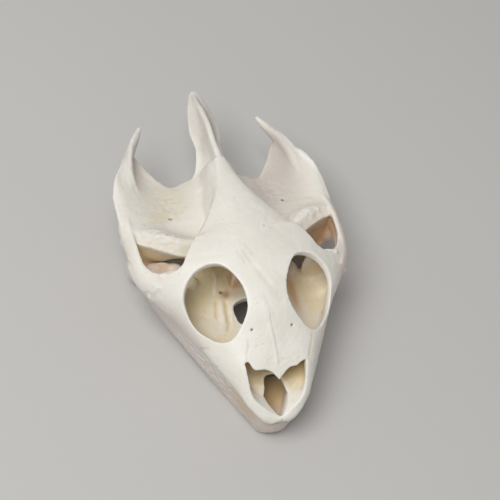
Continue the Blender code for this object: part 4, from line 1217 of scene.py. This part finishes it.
def sculpt_cranium(skin):
    """All the sculpting and paint of the cranium."""
    shift_temporal(skin)
    for _ in range(CREASE_PASSES):
        fill_creases(skin, CREASES, rounds=40, share=0.6)
    for spot in SOFT_RIMS:
        skin.soften(spot, rounds=16)
    skin.press(sum(skin.weight(patch) for patch in HOLLOWS))
    weather(skin, coarse=0.08, fine=0.035)
    roughen(skin, ROUGH_SPOTS)
    comb_roof(skin)
    tree = skin.tree()
    draw_lines(skin, tree, ROOF_LINES + EDGE_LINES + REAR_LINES + SIDE_LINES)
    draw_lines(skin, tree, SOCKET_LINES + tuple(other_side(line) for line in SOCKET_LINES))
    sink_pits(skin, tree, PITS)
    cover = sky_cover(skin, skin.tree())
    # Painted shade: tan where the bone hides the sky and gold where it hides most, partly also the stain of
    # the bone's hollows
    skin.paint("tan", 0.9 * ramp(cover, 0.2, 0.55))
    skin.paint("gold", 0.3 * ramp(cover, 0.5, 0.9))
    paint_stains_and_shade(skin, STAINS_AND_SHADE, cover)
    paint_relief_shade_and_highlight(skin)


def jaw_lines():
    """Growth grooves along both sides of the lower jaw."""
    lines = []
    for side in ("left", "right"):
        for i, (height, depth) in enumerate(JAW_GROOVES):
            start = JAW_GROOVE_SPAN[0] + 1.5 * (i % 3)
            end = JAW_GROOVE_SPAN[1] - 2.0 * (i % 2)
            stations = np.linspace(start, end, JAW_GROOVE_POINTS)
            points = [(s, height + 0.35 * np.sin(0.17 * s + i)) for s in stations]
            lines.append(Line(side, points, 0.24, depth, "grey", 0.7, 0.3))
            # Pale along raised lines just above each groove, partly the bone's own marks and partly painted
            # highlight
            pale_ridges = [(s, z + 0.45) for s, z in points]
            lines.append(Line(side, pale_ridges, 0.2, -0.06, "pale", 0.5, 0.35))
    return lines + [JAW_SEAM]


def sculpt_jaw(skin):
    """All the sculpting and paint of the lower jaw."""
    skin.soften(SOFT_CHIN, rounds=30)
    weather(skin, coarse=0.05, fine=0.035)
    roughen(skin, JAW_ROUGH)
    tree = skin.tree()
    draw_lines(skin, tree, jaw_lines())
    sink_pits(skin, tree, JAW_PITS)
    cover = sky_cover(skin, skin.tree())
    # Painted shade: tan where the bone hides the sky, partly also the stain of the bone's hollows
    skin.paint("tan", 0.6 * ramp(cover, 0.3, 0.9))
    paint_stains_and_shade(skin, JAW_STAINS_AND_SHADE, cover)
    paint_relief_shade_and_highlight(skin)
    skin.points[:, 2] = np.maximum(skin.points[:, 2], 0.0)
    skin.write()


class Graph:
    """The shader nodes of one material."""

    def __init__(self, name):
        self.material = bpy.data.materials.new(name)
        self.material.use_nodes = True
        self.nodes = self.material.node_tree.nodes
        self.shader = self.nodes["Principled BSDF"]
        self.coordinates = self.nodes.new("ShaderNodeTexCoord").outputs["Object"]

    def feed(self, node, inputs):
        """Set a node's inputs from plain values, or join them to other nodes' outputs."""
        for name, value in inputs.items():
            if isinstance(value, bpy.types.NodeSocket):
                self.material.node_tree.links.new(value, node.inputs[name])
            else:
                node.inputs[name].default_value = value

    def add(self, kind, output, inputs, **settings):
        """The named output of a new node."""
        node = self.nodes.new("ShaderNode" + kind)
        for name, value in settings.items():
            setattr(node, name, value)
        self.feed(node, inputs)
        return node.outputs[output]

    def times(self, value, factor):
        """A product of two values."""
        return self.add("Math", 0, {0: value, 1: factor}, operation="MULTIPLY")

    def noise(self, per_metre, detail, stretch=(1.0, 1.0, 1.0)):
        """A noise output at the given number of swings per metre."""
        spot = self.add("Mapping", "Vector", {"Vector": self.coordinates, "Scale": stretch})
        return self.add("TexNoise", "Fac", {"Vector": spot, "Scale": per_metre, "Detail": detail})

    def pores(self):
        """1 in small scattered pores and 0 between them."""
        cells = self.add("TexVoronoi", "Distance", {"Vector": self.coordinates, "Scale": PORES_PER_METRE})
        pore = self.add("MapRange", "Result", {"Value": cells, "From Min": 0.24, "From Max": 0.10})
        patchy = {"Value": self.noise(per_metre=260.0, detail=2.0), "From Min": 0.48, "From Max": 0.62}
        return self.times(pore, self.add("MapRange", "Result", patchy))

    def mixed(self, factor, first, second):
        """A colour mix: first and second are outputs or plain colours."""
        colours = [(*value, 1.0) if isinstance(value, tuple) else value for value in (first, second)]
        inputs = dict(zip((MIX_FACTOR, MIX_FIRST, MIX_SECOND), (factor, *colours)))
        return self.add("Mix", MIX_RESULT, inputs, data_type="RGBA")

    def bump(self, height, strength, distance, below=None, invert=False):
        """A bump's normal, on top of another one where it is given."""
        inputs = {"Height": height, "Strength": strength, "Distance": distance}
        if below is not None:
            inputs["Normal"] = below
        return self.add("Bump", "Normal", inputs, invert=invert)


def bone_material(name, light, dark):
    """Bone: mottled tones under the painted ones, which hold real staining as well as painted shade and
    light, satin, with fibres and pores as bump.
    """
    graph = Graph(name)
    colour = graph.mixed(graph.noise(per_metre=140.0, detail=9.0), light, dark)
    for tone, (paint, strength) in TONE_COLOURS.items():
        painted = graph.add("Attribute", "Fac", {}, attribute_name=tone)
        colour = graph.mixed(graph.times(painted, strength), colour, paint)
    pores = graph.pores()
    colour = graph.mixed(graph.times(pores, 0.16), colour, TONE_COLOURS["grey"][0])
    gloss = {"Value": graph.noise(per_metre=420.0, detail=3.0), "To Min": 0.36, "To Max": 0.6}
    fibres = graph.noise(per_metre=2200.0, detail=3.0, stretch=FIBRE_STRETCH)
    grain = graph.bump(fibres, strength=0.4, distance=0.0001)
    pitted = graph.bump(pores, strength=0.5, distance=0.0001, below=grain, invert=True)
    lumps = graph.noise(per_metre=600.0, detail=4.0)
    graph.feed(graph.shader, {
        "Base Color": colour,
        "Roughness": graph.add("MapRange", "Result", gloss),
        "Normal": graph.bump(lumps, strength=0.5, distance=0.00025, below=pitted),
        "Subsurface Weight": 0.15,
        "Subsurface Radius": (1.0, 0.62, 0.38),
        "Subsurface Scale": 0.0008,
        "Specular IOR Level": 0.45,
    })
    return graph.material


def dress(skin, material, node):
    """Finish a skin and put it in place of its solid."""
    skin.store_tones()
    obj = skin.obj
    obj.data.materials.clear()
    obj.data.materials.append(material)
    obj.data.shade_smooth()
    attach(obj, "root")
    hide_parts(node)


def camera_axes():
    """Right, up and back directions of the photo camera."""
    azimuth, elevation, roll = np.radians((CAMERA_AZIMUTH, CAMERA_ELEVATION, CAMERA_ROLL))
    flat = np.cos(elevation)
    back = np.array((np.sin(azimuth) * flat, -np.cos(azimuth) * flat, np.sin(elevation)))
    level = np.array((np.cos(azimuth), np.sin(azimuth), 0.0))
    rise = np.cross(back, level)
    right = np.cos(roll) * level + np.sin(roll) * rise
    up = np.cos(roll) * rise - np.sin(roll) * level
    return right, up, back


def make_camera():
    """The camera at the photo's viewing angle."""
    right, up, back = camera_axes()
    aside = CAMERA_ASIDE[0] * right + CAMERA_ASIDE[1] * up
    eye = np.array(CAMERA_TARGET) + CAMERA_DISTANCE * back - aside
    camera = bpy.data.objects.new("camera", bpy.data.cameras.new("camera"))
    bpy.context.scene.collection.objects.link(camera)
    columns = [np.append(axis, 0.0) for axis in (right, up, back)]
    camera.matrix_world = Matrix(np.column_stack([*columns, np.append(place([eye])[0], 1.0)]).tolist())
    camera.data.angle = np.radians(CAMERA_ANGLE)
    camera.data.clip_start = 0.01
    bpy.context.scene.camera = camera


def make_key():
    """The square soft light, aimed at the skull."""
    light = bpy.data.lights.new("key", "AREA")
    light.shape = "SQUARE"
    light.size = KEY_SIZE
    light.energy = KEY_POWER
    light.color = KEY_COLOUR
    key = bpy.data.objects.new("key", light)
    bpy.context.scene.collection.objects.link(key)
    key.location = KEY_PLACE
    key.rotation_euler = (Vector(KEY_TARGET) - Vector(KEY_PLACE)).to_track_quat("-Z", "Y").to_euler()


def make_studio():
    """Pale floor and plain soft light."""
    bm = bmesh.new()
    bmesh.ops.create_grid(bm, x_segments=1, y_segments=1, size=FLOOR_HALF)
    floor = mesh_object("floor", bm)
    material = bpy.data.materials.new("floor")
    material.use_nodes = True
    shader = material.node_tree.nodes["Principled BSDF"]
    shader.inputs["Base Color"].default_value = FLOOR_COLOUR
    shader.inputs["Roughness"].default_value = 0.9
    floor.data.materials.append(material)
    world = bpy.data.worlds.new("studio")
    world.use_nodes = True
    background = world.node_tree.nodes["Background"]
    background.inputs["Color"].default_value = SKY_COLOUR
    background.inputs["Strength"].default_value = SKY_STRENGTH
    bpy.context.scene.world = world
    bpy.context.scene.view_settings.view_transform = "Standard"
    make_key()


def main():
    """Build the skins, the studio and the camera."""
    cranium = Skin(make_cranium())
    jaw = Skin(make_lower_jaw())
    sculpt_cranium(cranium)
    sculpt_jaw(jaw)
    dress(cranium, bone_material("cranium_bone", *CRANIUM_COLOURS), "cranium")
    # The jaw's copy of the bone is darker and pinker: partly its own tint, partly painted shade and painted
    # pink reflection
    dress(jaw, bone_material("jaw_bone", *JAW_COLOURS), "lower_jaw")
    make_camera()
    make_studio()


main()
